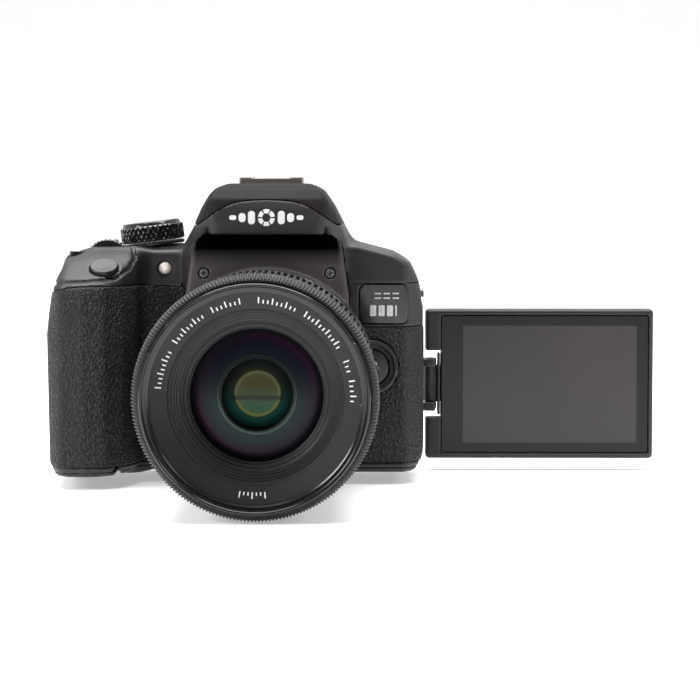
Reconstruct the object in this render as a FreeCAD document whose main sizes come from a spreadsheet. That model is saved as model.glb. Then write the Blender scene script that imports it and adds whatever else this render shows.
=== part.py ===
"""Digital single-lens reflex camera with a zoom lens and a screen that folds out to the side.

Millimetres. The front of the camera faces -Y, +X is to the right of someone facing it and +Z is up.
The origin is the centre of the tripod socket's mouth, on the base and straight under the lens axis.
"""
import FreeCAD, Part
import math
import os
import re
import Sketcher

Vector = FreeCAD.Vector

# ---------------------------------------------------------------- driving dimensions
SIZES = {
    # body envelope
    "body_left": -77.2,
    "body_right": 54.0,
    "front_y": -20.0,
    "plate_y": -27.0,
    "grip_y": -39.0,
    "back_y": 27.0,
    "recess_y": 23.0,
    "split_y": 2.0,
    "deck_z": 76.0,
    "base_thick": 1.6,
    "wall": 1.8,
    "skin": 0.8,
    "gap": 0.2,
    # lens mount and lens
    "axis_z": 34.6,
    "flange_y": -29.0,
    "throat_rad": 27.0,
    "mount_rad": 32.5,
    "barrel_rad": 36.0,
    "zoom_rad": 38.2,
    "focus_rad": 38.7,
    "tube_rad": 35.7,
    "tube_bore": 33.0,
    "thread_rad": 33.5,
    "lens_front": -124.5,
    "focus_front": -120.0,
    "focus_back": -106.0,
    "zoom_front": -103.5,
    "zoom_back": -66.0,
    # prism hump, flash and accessory shoe
    "hump_top": 98.3,
    "hump_front": -30.5,
    "flash_seam": 88.0,
    "flash_hinge_y": 7.8,
    "flash_hinge_z": 97.2,
    "shoe_half": 10.9,
    "shoe_slot": 9.4,
    "shoe_mouth": 6.3,
    "shoe_base": 98.6,
    "shoe_top": 102.6,
    "shoe_front": 10.6,
    "shoe_back": 26.0,
    # screen on its two-way hinge
    "hinge_x": 57.2,
    "hinge_y": 27.5,
    "screen_mid": 27.4,
    "screen_tall": 54.4,
    "screen_left": 55.4,
    "screen_right": 138.2,
    "screen_thick": 8.0,
    "arm_half": 11.2,
    "ear_half": 9.4,
    "barrel_half": 6.4,
    "notch_rad": 12.7,
    "arm_right": 60.6,
    "lcd_left": 61.2,
    "lcd_right": 136.4,
    "lcd_half": 25.0,
    # controls
    "release_x": -55.8,
    "release_y": -29.0,
    "release_z": 70.6,
    "release_rad": 4.7,
    "dial_x": -56.6,
    "dial_y": -7.0,
    "dial_z": 73.0,
    "dial_rad": 8.0,
    "mode_x": -41.6,
    "mode_y": 5.0,
    "mode_z": 79.9,
    "mode_rad": 11.2,
    "mode_tall": 7.1,
    "catch_x": 35.7,
    "catch_z": 36.9,
    "catch_rad": 6.2,
    "button_rad": 2.9,
    "quick_x": -47.5,
    "quick_z": 30.0,
    "quick_rad": 10.5,
    # inside
    "sensor_y": 15.0,
    "socket_rad": 3.175,
    "mirror_y": 2.0,
    "mirror_z": 52.6,
    "mirror_long": 25.0,
    "battery_left": -71.0,
    "battery_right": -57.0,
    "battery_tall": 49.4,
    "door_left": -72.0,
    "door_right": -52.6,
    "door_front": -33.0,
    "door_back": 1.5,
    # hinge lines of the terminal covers on the side wall
    "flap_low": 24.0,
    "flap_high": 58.0,
    "flap_long": 10.4,
    "flap_front": -10.0,
    "flap_rear": 3.6,
    # the wall leans in by this much at the height of the left strap lug
    "lug_inset": 2.9,
}
PAD_SLOPE = 30.0
MODE_TILT = 7.0
BEYOND = 150

doc = FreeCAD.newDocument("camera")
sheet = doc.addObject("Spreadsheet::Sheet", "Sizes")
for row, (alias, size) in enumerate(SIZES.items(), start=1):
    sheet.set(f"A{row}", alias)
    sheet.set(f"B{row}", str(size))
    sheet.setAlias(f"B{row}", alias)
doc.recompute()

nodes = {}


# ---------------------------------------------------------------- helpers
def bound(expression):
    """The expression with each alias pointed at the sheet."""
    return re.sub(r"[a-z_]{3,}", lambda word: "Sizes." + word.group(0), str(expression))


def value(expression):
    """The number that an expression of aliases gives now."""
    total = str(expression)
    for alias in sorted(SIZES, key=len, reverse=True):
        total = re.sub(rf"\b{alias}\b", f"({sheet.get(alias)})", total)
    return float(sum_of(total))


def sum_of(text):
    """Works out a plain arithmetic text through the sheet's own expression engine."""
    return sheet.evalExpression(text)


def tie(target, **properties):
    """Binds properties to expressions; double underscores stand for dots."""
    for name, expression in properties.items():
        target.setExpression(name.replace("__", "."), bound(expression))
    return target


def box(name, low_x, high_x, low_y, high_y, low_z, high_z):
    solid = doc.addObject("Part::Box", name)
    tie(solid, Length=f"({high_x}) - ({low_x})", Width=f"({high_y}) - ({low_y})")
    tie(solid, Height=f"({high_z}) - ({low_z})")
    tie(solid, Placement__Base__x=low_x, Placement__Base__y=low_y, Placement__Base__z=low_z)
    return solid


TURN_TO = {
    "X": FreeCAD.Rotation(Vector(0, 1, 0), 90),
    "Y": FreeCAD.Rotation(Vector(1, 0, 0), -90),
    "Z": FreeCAD.Rotation(),
}


def rod(name, along, centre, radius, low, high):
    """A cylinder along one axis from low to high; centre is a pair in the other two axes, in order."""
    solid = doc.addObject("Part::Cylinder", name)
    solid.Placement = FreeCAD.Placement(Vector(), TURN_TO[along])
    tie(solid, Radius=radius, Height=f"({high}) - ({low})")
    spots = dict(zip([axis for axis in "XYZ" if axis != along], centre))
    spots[along] = low
    tie(solid, Placement__Base__x=spots["X"], Placement__Base__y=spots["Y"])
    tie(solid, Placement__Base__z=spots["Z"])
    return solid


def origin_plane(body, role):
    return [item for item in body.Origin.OriginFeatures if item.Role == role][0]


def polygon(body, role, outline):
    """A closed sketch of straight sides, each corner held by two dimensions tied to the sheet."""
    sketch = body.newObject("Sketcher::SketchObject", body.Name + "_sketch")
    sketch.AttachmentSupport = [(origin_plane(body, role), "")]
    sketch.MapMode = "FlatFace"
    corners = [(value(across), value(along)) for across, along in outline]
    count = len(corners)
    rules = []
    for index in range(count):
        start, end = corners[index], corners[(index + 1) % count]
        sketch.addGeometry(Part.LineSegment(Vector(*start, 0), Vector(*end, 0)), False)
        rules.append(Sketcher.Constraint("Coincident", index, 2, (index + 1) % count, 1))
    for index, (across, along) in enumerate(corners):
        rules.append(Sketcher.Constraint("DistanceX", -1, 1, index, 1, across))
        rules.append(Sketcher.Constraint("DistanceY", -1, 1, index, 1, along))
    sketch.addConstraint(rules)
    for index, (across, along) in enumerate(outline):
        sketch.setExpression(f"Constraints[{count + 2 * index}]", bound(across))
        sketch.setExpression(f"Constraints[{count + 2 * index + 1}]", bound(along))
    return sketch


def prism(name, plane, outline, low, high, rounding=0):
    """An outline padded between low and high, with its long edges rounded if asked."""
    body = doc.addObject("PartDesign::Body", name)
    pad = body.newObject("PartDesign::Pad", name + "_pad")
    pad.Profile = polygon(body, plane + "_Plane", outline)
    tie(pad, Length=f"({high}) - ({low})")
    shift = {"XY": ("z", low), "XZ": ("y", high), "YZ": ("x", low)}[plane]
    body.setExpression("Placement.Base." + shift[0], bound(shift[1]))
    doc.recompute()
    if rounding:
        length = value(high) - value(low)
        names = [
            f"Edge{number}"
            for number, edge in enumerate(pad.Shape.Edges, start=1)
            if abs(edge.Length - length) < 1e-6 and is_corner(edge, pad.Shape, plane)
        ]
        fillet = body.newObject("PartDesign::Fillet", name + "_rounding")
        fillet.Base = (pad, names)
        tie(fillet, Radius=rounding)
        body.Tip = fillet
        doc.recompute()
    return body


def is_corner(edge, shape, plane):
    normal = {"XY": Vector(0, 0, 1), "XZ": Vector(0, 1, 0), "YZ": Vector(1, 0, 0)}[plane]
    direction = edge.Vertexes[1].Point - edge.Vertexes[0].Point
    return abs(abs(direction.normalize().dot(normal)) - 1) < 1e-6


def turned(name, along, centre, profile):
    """A revolved solid; profile corners are (radius, place along the axis)."""
    body = doc.addObject("PartDesign::Body", name)
    turn = body.newObject("PartDesign::Revolution", name + "_turn")
    sketch = polygon(body, "XY_Plane", profile)
    turn.Profile = sketch
    turn.ReferenceAxis = (sketch, ["V_Axis"])
    turn.Angle = 360
    rotation = {
        "X": FreeCAD.Rotation(Vector(0, 0, 1), -90),
        "Y": FreeCAD.Rotation(),
        "Z": FreeCAD.Rotation(Vector(1, 0, 0), 90),
    }[along]
    body.Placement = FreeCAD.Placement(Vector(), rotation)
    spots = dict(zip([axis for axis in "XYZ" if axis != along], centre))
    for axis, spot in spots.items():
        body.setExpression("Placement.Base." + axis.lower(), bound(spot))
    return body


def tube(name, along, centre, outer, inner, low, high):
    return turned(name, along, centre, [(inner, low), (outer, low), (outer, high), (inner, high)])


def join(name, *pieces):
    solid = doc.addObject("Part::MultiFuse", name)
    solid.Shapes = list(pieces)
    return solid


def overlap(name, *pieces):
    solid = doc.addObject("Part::MultiCommon", name)
    solid.Shapes = list(pieces)
    return solid


def cut(name, base, *tools):
    solid = doc.addObject("Part::Cut", name)
    solid.Base = base
    solid.Tool = tools[0] if len(tools) == 1 else join(name + "_tools", *tools)
    return solid


def group(name, *pieces):
    """Separate solids that share a node."""
    bundle = doc.addObject("Part::Compound", name)
    bundle.Links = list(pieces)
    return bundle


def keep(node, solid):
    """Marks a finished sub-part; its label is the node's name."""
    solid.Label = node
    nodes[node] = solid
    return solid


def inset(outline, by):
    """The outline moved inwards by an expression, corner by corner, for outlines drawn anticlockwise."""
    corners = [(value(across), value(along)) for across, along in outline]
    moved = []
    for index, (across, along) in enumerate(outline):
        before, here, after = corners[index - 1], corners[index], corners[(index + 1) % len(corners)]
        normals = []
        for start, end in ((before, here), (here, after)):
            length = math.hypot(end[0] - start[0], end[1] - start[1])
            normals.append(((start[1] - end[1]) / length, (end[0] - start[0]) / length))
        scale = 1 + normals[0][0] * normals[1][0] + normals[0][1] * normals[1][1]
        share = [(normals[0][axis] + normals[1][axis]) / scale for axis in (0, 1)]
        moved.append((f"({across}) + ({share[0]:.5f}) * ({by})", f"({along}) + ({share[1]:.5f}) * ({by})"))
    return moved


# ---------------------------------------------------------------- outlines of the body
PLAN = [
    ("body_right", "front_y + 9"),
    ("body_right", "recess_y - 6"),
    ("body_right - 6", "recess_y"),
    ("-25.2", "recess_y"),
    ("-26", "back_y"),
    ("body_left + 12", "back_y"),
    ("body_left + 3", "back_y - 6"),
    ("body_left", "back_y - 15"),
    ("body_left", "front_y"),
    ("body_left + 2", "grip_y + 8"),
    ("body_left + 8", "grip_y"),
    ("body_left + 22", "grip_y"),
    ("body_left + 30", "grip_y + 12"),
    ("body_left + 36", "front_y + 8"),
    ("-28.5", "front_y + 8"),
    ("-25", "plate_y + 3.2"),
    ("25", "plate_y + 3.2"),
    ("28.5", "front_y"),
    ("body_right - 6", "front_y"),
]
FRONT = [
    ("body_left + 3.5", "0"),
    ("body_right - 3", "0"),
    ("body_right", "4"),
    ("body_right", "56"),
    ("body_right - 2", "67"),
    ("body_right - 5", "deck_z - 2.6"),
    ("body_right - 12", "deck_z"),
    ("body_left + 16", "deck_z"),
    ("body_left + 6", "deck_z - 2"),
    ("body_left + 1.5", "64"),
    ("body_left", "52"),
    ("body_left + 1", "6"),
]


def anticlockwise(outline):
    """The outline in the order that inset needs."""
    corners = [(value(across), value(along)) for across, along in outline]
    area = sum(
        here[0] * corners[index - 1][1] - corners[index - 1][0] * here[1]
        for index, here in enumerate(corners)
    )
    return outline if area < 0 else list(reversed(outline))


def body_form(name, by):
    """The whole body below its deck, drawn in from the outside by an expression."""
    plan = prism(name + "_plan", "XY", inset(anticlockwise(PLAN), by), -BEYOND, BEYOND)
    front = prism(name + "_front", "XZ", inset(anticlockwise(FRONT), by), -BEYOND, BEYOND)
    fall = math.tan(math.radians(PAD_SLOPE))
    drop = f"deck_z - ({by}) * {1 / math.cos(math.radians(PAD_SLOPE)):.5f}"
    slope = [
        ("-60", f"{drop} - {38 * fall:.5f}"),
        ("-22", drop),
        ("-22", "deck_z + 20"),
        ("-60", "deck_z + 20"),
    ]
    pad = prism(name + "_pad", "YZ", slope, -BEYOND, "body_left + 35.7")
    return cut(name, overlap(name + "_solid", plan, front), pad)


HUMP_SIDE = [
    ("-27", "deck_z - 3"),
    ("29", "deck_z - 3"),
    ("29", "90"),
    ("26.5", "hump_top"),
    ("-8", "hump_top"),
    ("-18", "hump_top - 1.8"),
    ("-26", "hump_top - 5.3"),
    ("hump_front", "flash_seam"),
    ("hump_front", "83"),
    ("-27", "deck_z"),
]
HUMP_FRONT = [
    ("-31", "deck_z - 3"),
    ("31", "deck_z - 3"),
    ("31", "78.5"),
    ("25.8", "85"),
    ("18.3", "hump_top"),
    ("-18.3", "hump_top"),
    ("-25.8", "85"),
    ("-31", "78.5"),
]


def hump_form(name, by):
    side = prism(name + "_side", "YZ", inset(HUMP_SIDE, by), "-40", "40")
    front = prism(name + "_front", "XZ", inset(HUMP_FRONT, by), "-60", "60")
    return overlap(name, side, front)


def slanted(name, solid, axis, angle, pivot):
    """The solid turned about a line through the pivot."""
    turned_solid = group(name, solid)
    spot = Vector(*[value(part) for part in pivot])
    turned_solid.Placement = FreeCAD.Placement(Vector(), FreeCAD.Rotation(axis, angle), spot)
    return turned_solid


# ---------------------------------------------------------------- fasteners and body shells
def screws():
    """Cover screws: two beside the prism, four in the mount, four under the base."""
    heads = []
    for index, across in enumerate(("-21.7", "21.7")):
        heads.append(rod(f"plate_screw_{index}", "Y", (across, "69.7"), "1.7", "plate_y - 0.1", "plate_y + 2"))
    for index in range(4):
        angle = math.radians(45 + 90 * index)
        spot = (f"{30 * math.cos(angle):.4f}", f"axis_z + {30 * math.sin(angle):.4f}")
        heads.append(rod(f"mount_screw_{index}", "Y", spot, "1.2", "flange_y + 0.3", "flange_y + 3"))
    for index, (across, along) in enumerate((("-44", "-8"), ("44", "-8"), ("-44", "16"), ("40", "16"))):
        heads.append(rod(f"base_screw_{index}", "Z", (across, along), "1.6", "0.2", "base_thick"))
    return group("screws", *heads)


def build_shells():
    outer = body_form("outer", "0")
    under_skin = body_form("under_skin", "skin")
    inner = body_form("inner", "wall + skin")
    skin_shell = cut("skin_shell", outer, under_skin)
    full_shell = cut("full_shell", outer, inner)

    grip_region = box("grip_region", -BEYOND, "-41.5", -BEYOND, "split_y - 1", "base_thick + 1.4", "63")
    grip = keep("grip_rubber", overlap("grip_skin", skin_shell, grip_region))
    side_region = box("side_region", "29.2", BEYOND, -BEYOND, "-12", "base_thick + 1.4", "66")
    badge_room = box("badge_room", "31.6", "48.6", -BEYOND, "0", "51.9", "65.5")
    catch_room = rod("catch_room", "Y", ("catch_x", "catch_z"), "9.6", -BEYOND, "0")
    side_skin = overlap("side_skin", skin_shell, side_region)
    side = keep("side_rubber", cut("side_cut", side_skin, badge_room, catch_room))
    thumb_region = box("thumb_region", -BEYOND, "-62.5", "split_y + 1", BEYOND, "8", "56")
    thumb = keep("thumb_rubber", overlap("thumb_skin", skin_shell, thumb_region))
    badge = box("badge", "31.8", "48.4", "front_y - 0.2", "front_y + skin", "52.1", "65.3")
    keep("badge_plate", badge)

    fixings = keep("cover_screws", screws())
    lamp_hole = rod("lamp_hole", "Y", ("-36.2", "70.9"), "2.5", -BEYOND, "-2")
    throat = rod("throat", "Y", ("0", "axis_z"), "28.4", -BEYOND, "-14")
    box_room = box("box_room", "-21.5", "21.5", -BEYOND, "-14", "13.5", "57.5")
    catch_hole = rod("catch_hole", "Y", ("catch_x", "catch_z"), "catch_rad + 0.15", -BEYOND, "-10")
    flaps = [
        box("flap_room_front", "body_right - 6", BEYOND, "flap_front + 0.2", "flap_front + flap_long + 1",
            "flap_low - 0.3", "flap_high + 0.3"),
        box("flap_room_rear", "body_right - 6", BEYOND, "flap_rear + 0.2", "flap_rear + flap_long + 1",
            "flap_low - 0.3", "flap_high + 0.3"),
    ]

    chamber_mouth = box("chamber_mouth", "door_left - 0.2", "door_right + 1.4", "door_front - 0.2",
                        "door_back + 0.2", "0", "wall + skin + 0.2")
    socket_room = rod("socket_room", "Z", ("0", "0"), "5", "0", "8")

    front_region = box("front_region", -BEYOND, BEYOND, -BEYOND, "split_y", "base_thick", "66")
    surround = tube("catch_surround", "Y", ("catch_x", "catch_z"), "9.4", "catch_rad + 0.15",
                    "front_y - 2.4", "front_y + 2")
    front_wall = overlap("front_wall", full_shell, front_region)
    front_base = join("front_base", front_wall, surround)
    front = keep(
        "front_cover",
        cut("front_cut", front_base, grip, side, badge_seat(), throat, box_room, catch_hole, flaps[0],
            chamber_mouth, socket_room),
    )

    lugs = keep("strap_lugs", strap_lugs())
    rear_region = box("rear_region", -BEYOND, BEYOND, "split_y + gap", BEYOND, "base_thick", "72.5")
    ears = []
    for index, side_sign in enumerate((1, -1)):
        low = "barrel_half + 0.2" if side_sign > 0 else "-ear_half"
        high = "ear_half" if side_sign > 0 else "-barrel_half - 0.2"
        foot = [("50", "20"), ("58.9", "20"), ("58.9", "hinge_y"), ("55.5", "hinge_y"),
                ("55.5", "22.6"), ("50", "22.6")]
        ears.append(prism(f"ear_foot_{index}", "XY", foot, f"screen_mid + {low}", f"screen_mid + ({high})"))
        ears.append(rod(f"ear_disc_{index}", "Z", ("hinge_x", "hinge_y"), "2.4",
                        f"screen_mid + {low}", f"screen_mid + ({high})"))
    pin = rod("hinge_pin", "Z", ("hinge_x", "hinge_y"), "0.9", "screen_mid - ear_half", "screen_mid + ear_half")
    rear_base = join("rear_base", overlap("rear_wall", full_shell, rear_region), *ears, pin)
    holes = [
        rod(f"button_hole_{name}", "Y", spot, f"({radius}) + 0.15", "10", BEYOND)
        for name, (spot, radius) in REAR_BUTTONS.items()
    ]
    rear = keep("rear_cover", cut("rear_cut", rear_base, thumb, lugs, flaps[1], socket_room, *lug_pockets(), *holes))

    door_room = box("door_room", "door_left - 0.2", "door_right + 1.4", "door_front - 0.2",
                    "door_back + 0.2", "-1", "base_thick")
    base_region = box("base_region", -BEYOND, BEYOND, -BEYOND, BEYOND, "0", "base_thick - 0.01")
    socket_hole = rod("socket_hole", "Z", ("0", "0"), "5", "-1", "base_thick + 1")
    keep("base_cover", cut("base_cut", overlap("base_slab", outer, base_region), door_room, socket_hole, fixings))

    build_top(full_shell, lamp_hole)
    build_front_plate(fixings)


def badge_seat():
    return box("badge_seat", "31.8", "48.4", "front_y - 1", "front_y + skin", "52.1", "65.3")


LUG_WALLS = {"left": (-1, "body_left + lug_inset"), "right": (1, "body_right")}


def across_wall(name, deep, proud):
    """A box through the side wall, from a depth inside it to a height proud of it."""
    side_sign, wall = LUG_WALLS[name]
    inside, outside = (f"{wall} - {side_sign * deep}", f"{wall} + {side_sign * proud}")
    low, high = (inside, outside) if side_sign > 0 else (outside, inside)
    return low, high


def strap_lugs():
    """Two flat loops, each across a shallow pocket in the wall, that the strap ends thread through."""
    loops = []
    for name in LUG_WALLS:
        plate = box(f"lug_plate_{name}", *across_wall(name, 4, 0.5), "6", "17", "60", "62")
        slot = box(f"lug_slot_{name}", *across_wall(name, 1.6, -0.4), "7.4", "15.6", "59", "63")
        loops.append(cut(f"lug_{name}", plate, slot))
    return group("lugs", *loops)


def lug_pockets():
    return [box(f"lug_pocket_{name}", *across_wall(name, 1.6, 4), "7.4", "15.6", "57.5", "64.5") for name in LUG_WALLS]


def build_top(full_shell, lamp_hole):
    """The top cover: deck, shoulders, prism housing, and the bosses under the dials."""
    front_part = box("top_front", -BEYOND, BEYOND, -BEYOND, "split_y + gap", "66.1", BEYOND)
    rear_part = box("top_rear", -BEYOND, BEYOND, "split_y", BEYOND, "72.6", BEYOND)
    deck = overlap("deck", full_shell, join("top_region", front_part, rear_part))
    hump_outer = hump_form("hump_outer", "0")
    hump_inner = hump_form("hump_inner", "wall")
    hump_shell = cut("hump_shell", hump_outer, hump_inner)
    head_room = box("head_room", "-40", "40", "-60", "flash_hinge_y + 1.2", "flash_seam", BEYOND)
    inside = box("hump_well", "-27.5", "27.5", "-22", "26", "deck_z - 8", "deck_z + 1")
    over_plate = box("over_plate", "-30", "30", "-60", "-22", "60", "deck_z")
    eyepiece = box("eyepiece_room", "-11", "11", "20", "40", "77.5", "90.5")
    knob_room = box("knob_room", "-24.6", "-19.6", "23", "40", "80", "88")
    dial_slot = box("dial_slot", "dial_x - dial_rad - 0.5", "dial_x + dial_rad + 0.5",
                    "dial_y - 3.9", "dial_y + 3.9", "60", "deck_z + 1")
    iso_hole = rod("iso_hole", "Z", ("-67", "-13"), "2.55", "60", BEYOND)
    release_hole = release_cylinder("release_hole", "release_rad + 0.15", 14, -10)
    boss_rod = rod("mode_boss_rod", "Z", ("mode_x", "mode_y"), "10.4", "mode_z - 5", "mode_z - 1.9")
    boss = slanted("mode_boss", boss_rod, Vector(0, 1, 0), -MODE_TILT, ("mode_x", "mode_y", "mode_z"))
    solid = join("top_solid", deck, boss, cut("hump_wall", hump_shell, head_room))
    keep("top_cover", cut("top_cut", solid, inside, over_plate, eyepiece, knob_room, dial_slot, iso_hole,
                          release_hole, lamp_hole))


def release_cylinder(name, radius, tall, low):
    """A cylinder square to the sloping pad at the shutter button, from low upwards."""
    solid = doc.addObject("Part::Cylinder", name)
    tilt = math.radians(PAD_SLOPE)
    tie(solid, Radius=radius)
    solid.Height = tall
    solid.Placement = FreeCAD.Placement(Vector(), FreeCAD.Rotation(Vector(1, 0, 0), PAD_SLOPE))
    tie(solid, Placement__Base__x="release_x")
    tie(solid, Placement__Base__y=f"release_y - {low * math.sin(tilt):.5f}")
    tie(solid, Placement__Base__z=f"release_z + {low * math.cos(tilt):.5f}")
    return solid


def build_front_plate(fixings):
    outline = [("-27.6", "4"), ("27.6", "4"), ("28.4", "60"), ("25.5", "deck_z - 0.4"),
               ("-25.5", "deck_z - 0.4"), ("-28.4", "60")]
    plate = prism("plate", "XZ", outline, "plate_y", "plate_y + 3.1")
    hole = rod("plate_hole", "Y", ("0", "axis_z"), "throat_rad + 0.5", -BEYOND, BEYOND)
    keep("front_plate", cut("plate_cut", plate, hole, fixings))
    ring = tube("mount", "Y", ("0", "axis_z"), "mount_rad", "throat_rad", "flange_y", "plate_y")
    keep("lens_mount_ring", cut("mount_cut", ring, fixings))


# ---------------------------------------------------------------- fixed outer parts
REAR_BUTTONS = {
    "menu_button": (("46", "66"), "button_rad"),
    "info_button": (("37", "66"), "button_rad"),
    "live_view_button": (("-20", "66"), "button_rad"),
    "af_on_button": (("-45", "66"), "button_rad + 0.6"),
    "exposure_lock_button": (("-57", "66"), "button_rad"),
    "af_point_button": (("-67", "66"), "button_rad"),
    "playback_button": (("-33", "12"), "button_rad"),
    "erase_button": (("-57", "12"), "button_rad"),
    "quick_menu_button": (("-36", "48"), "button_rad"),
    "set_button": (("quick_x", "quick_z"), "4.6"),
}


def build_fixed_trim():
    outline = [("-shoe_half", "shoe_base"), ("shoe_half", "shoe_base"), ("shoe_half", "shoe_top"),
               ("shoe_mouth", "shoe_top"), ("shoe_mouth", "shoe_top - 0.9"), ("shoe_slot", "shoe_top - 0.9"),
               ("shoe_slot", "shoe_base + 1"), ("-shoe_slot", "shoe_base + 1"), ("-shoe_slot", "shoe_top - 0.9"),
               ("-shoe_mouth", "shoe_top - 0.9"), ("-shoe_mouth", "shoe_top"), ("-shoe_half", "shoe_top")]
    keep("hot_shoe", prism("shoe", "XZ", outline, "shoe_front", "shoe_back"))
    cup = prism("cup_outer", "XZ", rectangle("17", "75.2", "92.8"), "29.1", "37", 4)
    hollow = prism("cup_inner", "XZ", rectangle("11.5", "77.7", "90.3"), "28", "38", 3)
    keep("eyecup", cut("cup", cup, hollow))
    keep("self_timer_lamp", rod("lamp", "Y", ("-36.2", "70.9"), "2.3", "-12.3", "-8.5"))
    insert = tube("insert", "Z", ("0", "0"), "4.9", "socket_rad", "0", "6")
    keep("tripod_socket", insert)


def rectangle(half, low, high):
    return [(f"-({half})", low), (half, low), (half, high), (f"-({half})", high)]


# ---------------------------------------------------------------- inside the body
def build_inside():
    middle = "axis_z"
    shell = box("box_shell", "-20.8", "20.8", "plate_y + 3.4", "6.4", "14", "57")
    room = box("box_hollow", "-17", "17", "plate_y", "5", "17", "58")
    gate = box("box_gate", "-12", "12", "0", "8", f"{middle} - 8.2", f"{middle} + 8.2")
    keep("mirror_box", cut("mirror_chamber", shell, room, gate))
    blades = box("shutter_body", "-20", "20", "6.6", "11", "16", "56")
    window = box("shutter_window", "-11.6", "11.6", "6", "12", f"{middle} - 7.8", f"{middle} + 7.8")
    keep("shutter_unit", cut("shutter", blades, window))
    keep("image_sensor", box("sensor", "-14", "14", "sensor_y - 1", "sensor_y + 2",
                             f"{middle} - 11", f"{middle} + 11"))
    keep("main_board", box("board", "-32", "44", "sensor_y + 3.4", "sensor_y + 5", "8", "60"))
    mirror = box("mirror_plate", "-13.5", "13.5", "mirror_y - mirror_long", "mirror_y",
                 "mirror_z - 0.6", "mirror_z + 0.6")
    keep("main_mirror", slanted("mirror", mirror, Vector(1, 0, 0), 45, ("0", "mirror_y", "mirror_z")))
    outline = [("-20", "61"), ("4", "61"), ("12", "68"), ("12", "80"), ("2", "88"), ("-14", "86.5"), ("-22", "76")]
    penta = prism("penta", "YZ", outline, "-13", "13")
    screen = box("focus_screen", "-13", "13", "-21", "1", "58", "59.5")
    eye_lens = rod("eye_glass", "Y", ("0", "84"), "6.2", "20", "24")
    keep("viewfinder_optics", group("finder", penta, screen, eye_lens))
    keep("battery", box("cell", "battery_left", "battery_right", "-32", "1", "2.4", "2.4 + battery_tall"))
    keep("memory_card", box("card", "-55.6", "-53.5", "-28", "-4", "2.4", "34.4"))
    block = box("sockets", "42", "body_right - 3.4", "flap_front + 1", "flap_rear + flap_long",
                "flap_low + 1", "flap_high - 1")
    jacks = [
        rod("jack_mic", "X", ("-4.4", "51"), "1.75", "44", BEYOND),
        rod("jack_remote", "X", ("-4.4", "37"), "1.25", "44", BEYOND),
        box("port_hdmi", "45", BEYOND, "7", "10", "44", "55"),
        box("port_usb", "45", BEYOND, "6.8", "10.2", "29", "36"),
    ]
    keep("terminal_block", cut("terminals", block, *jacks))


# ---------------------------------------------------------------- lens
def build_lens():
    centre = ("0", "axis_z")
    guide = "barrel_rad + 1.1"
    keep("lens_barrel", turned("barrel", "Y", centre, [
        ("22", "flange_y + 4"), ("throat_rad - 0.6", "flange_y + 4"), ("throat_rad - 0.6", "flange_y"),
        ("mount_rad + 0.6", "flange_y"), ("mount_rad + 1", "flange_y - 5"), ("37.6", "flange_y - 17"),
        ("37.6", "zoom_back + 0.3"), (guide, "zoom_back + 0.3"), (guide, "zoom_front - 0.2"),
        ("37.9", "zoom_front - 0.2"), ("37.9", "focus_back + 0.2"), (guide, "focus_back + 0.2"),
        (guide, "focus_front + 1.4"), ("barrel_rad", "focus_front + 1.4"), ("barrel_rad", "zoom_back + 3"),
        ("22", "zoom_back + 6")]))
    keep("zoom_ring", tube("zoom", "Y", centre, "zoom_rad", "barrel_rad + 1.3", "zoom_front", "zoom_back"))
    keep("focus_ring", tube("focus", "Y", centre, "focus_rad", "barrel_rad + 1.3", "focus_front", "focus_back"))
    keep("inner_barrel", turned("inner_tube", "Y", centre, [
        ("thread_rad", "lens_front"), ("barrel_rad", "lens_front"), ("barrel_rad", "focus_front - 0.5"),
        ("tube_rad", "focus_front - 0.5"), ("tube_rad", "zoom_back - 5"), ("tube_bore", "zoom_back - 5"),
        ("tube_bore", "lens_front + 6"), ("thread_rad", "lens_front + 6")]))
    keep("name_ring", turned("names", "Y", centre, [
        ("tube_bore - 0.1", "lens_front + 6.4"), ("27.6", "lens_front + 9"), ("27.4", "lens_front + 12"),
        ("24", "lens_front + 14"), ("21.5", "lens_front + 17"), ("21.2", "lens_front + 21.5"),
        ("23", "lens_front + 22.5"), ("tube_bore - 0.1", "lens_front + 22.5")]))
    keep("front_element", turned("front_glass", "Y", centre, [
        ("0", "lens_front + 17.2"), ("8", "lens_front + 17.6"), ("15", "lens_front + 18.8"),
        ("20.9", "lens_front + 20.6"), ("20.9", "lens_front + 26"), ("0", "lens_front + 27")]))
    iris = tube("iris", "Y", centre, "21.9", "8", "-58", "-54")
    rear_glass = rod("rear_glass", "Y", centre, "21.9", "-38", "-32")
    keep("rear_optics", group("rear_group", iris, rear_glass))
    for name, low in (("af_switch", "-63"), ("stabiliser_switch", "-56")):
        keep(name, box(name + "_cap", "37.75", "39.2", low, f"{low} + 4.4", "axis_z + 1", "axis_z + 5"))


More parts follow.
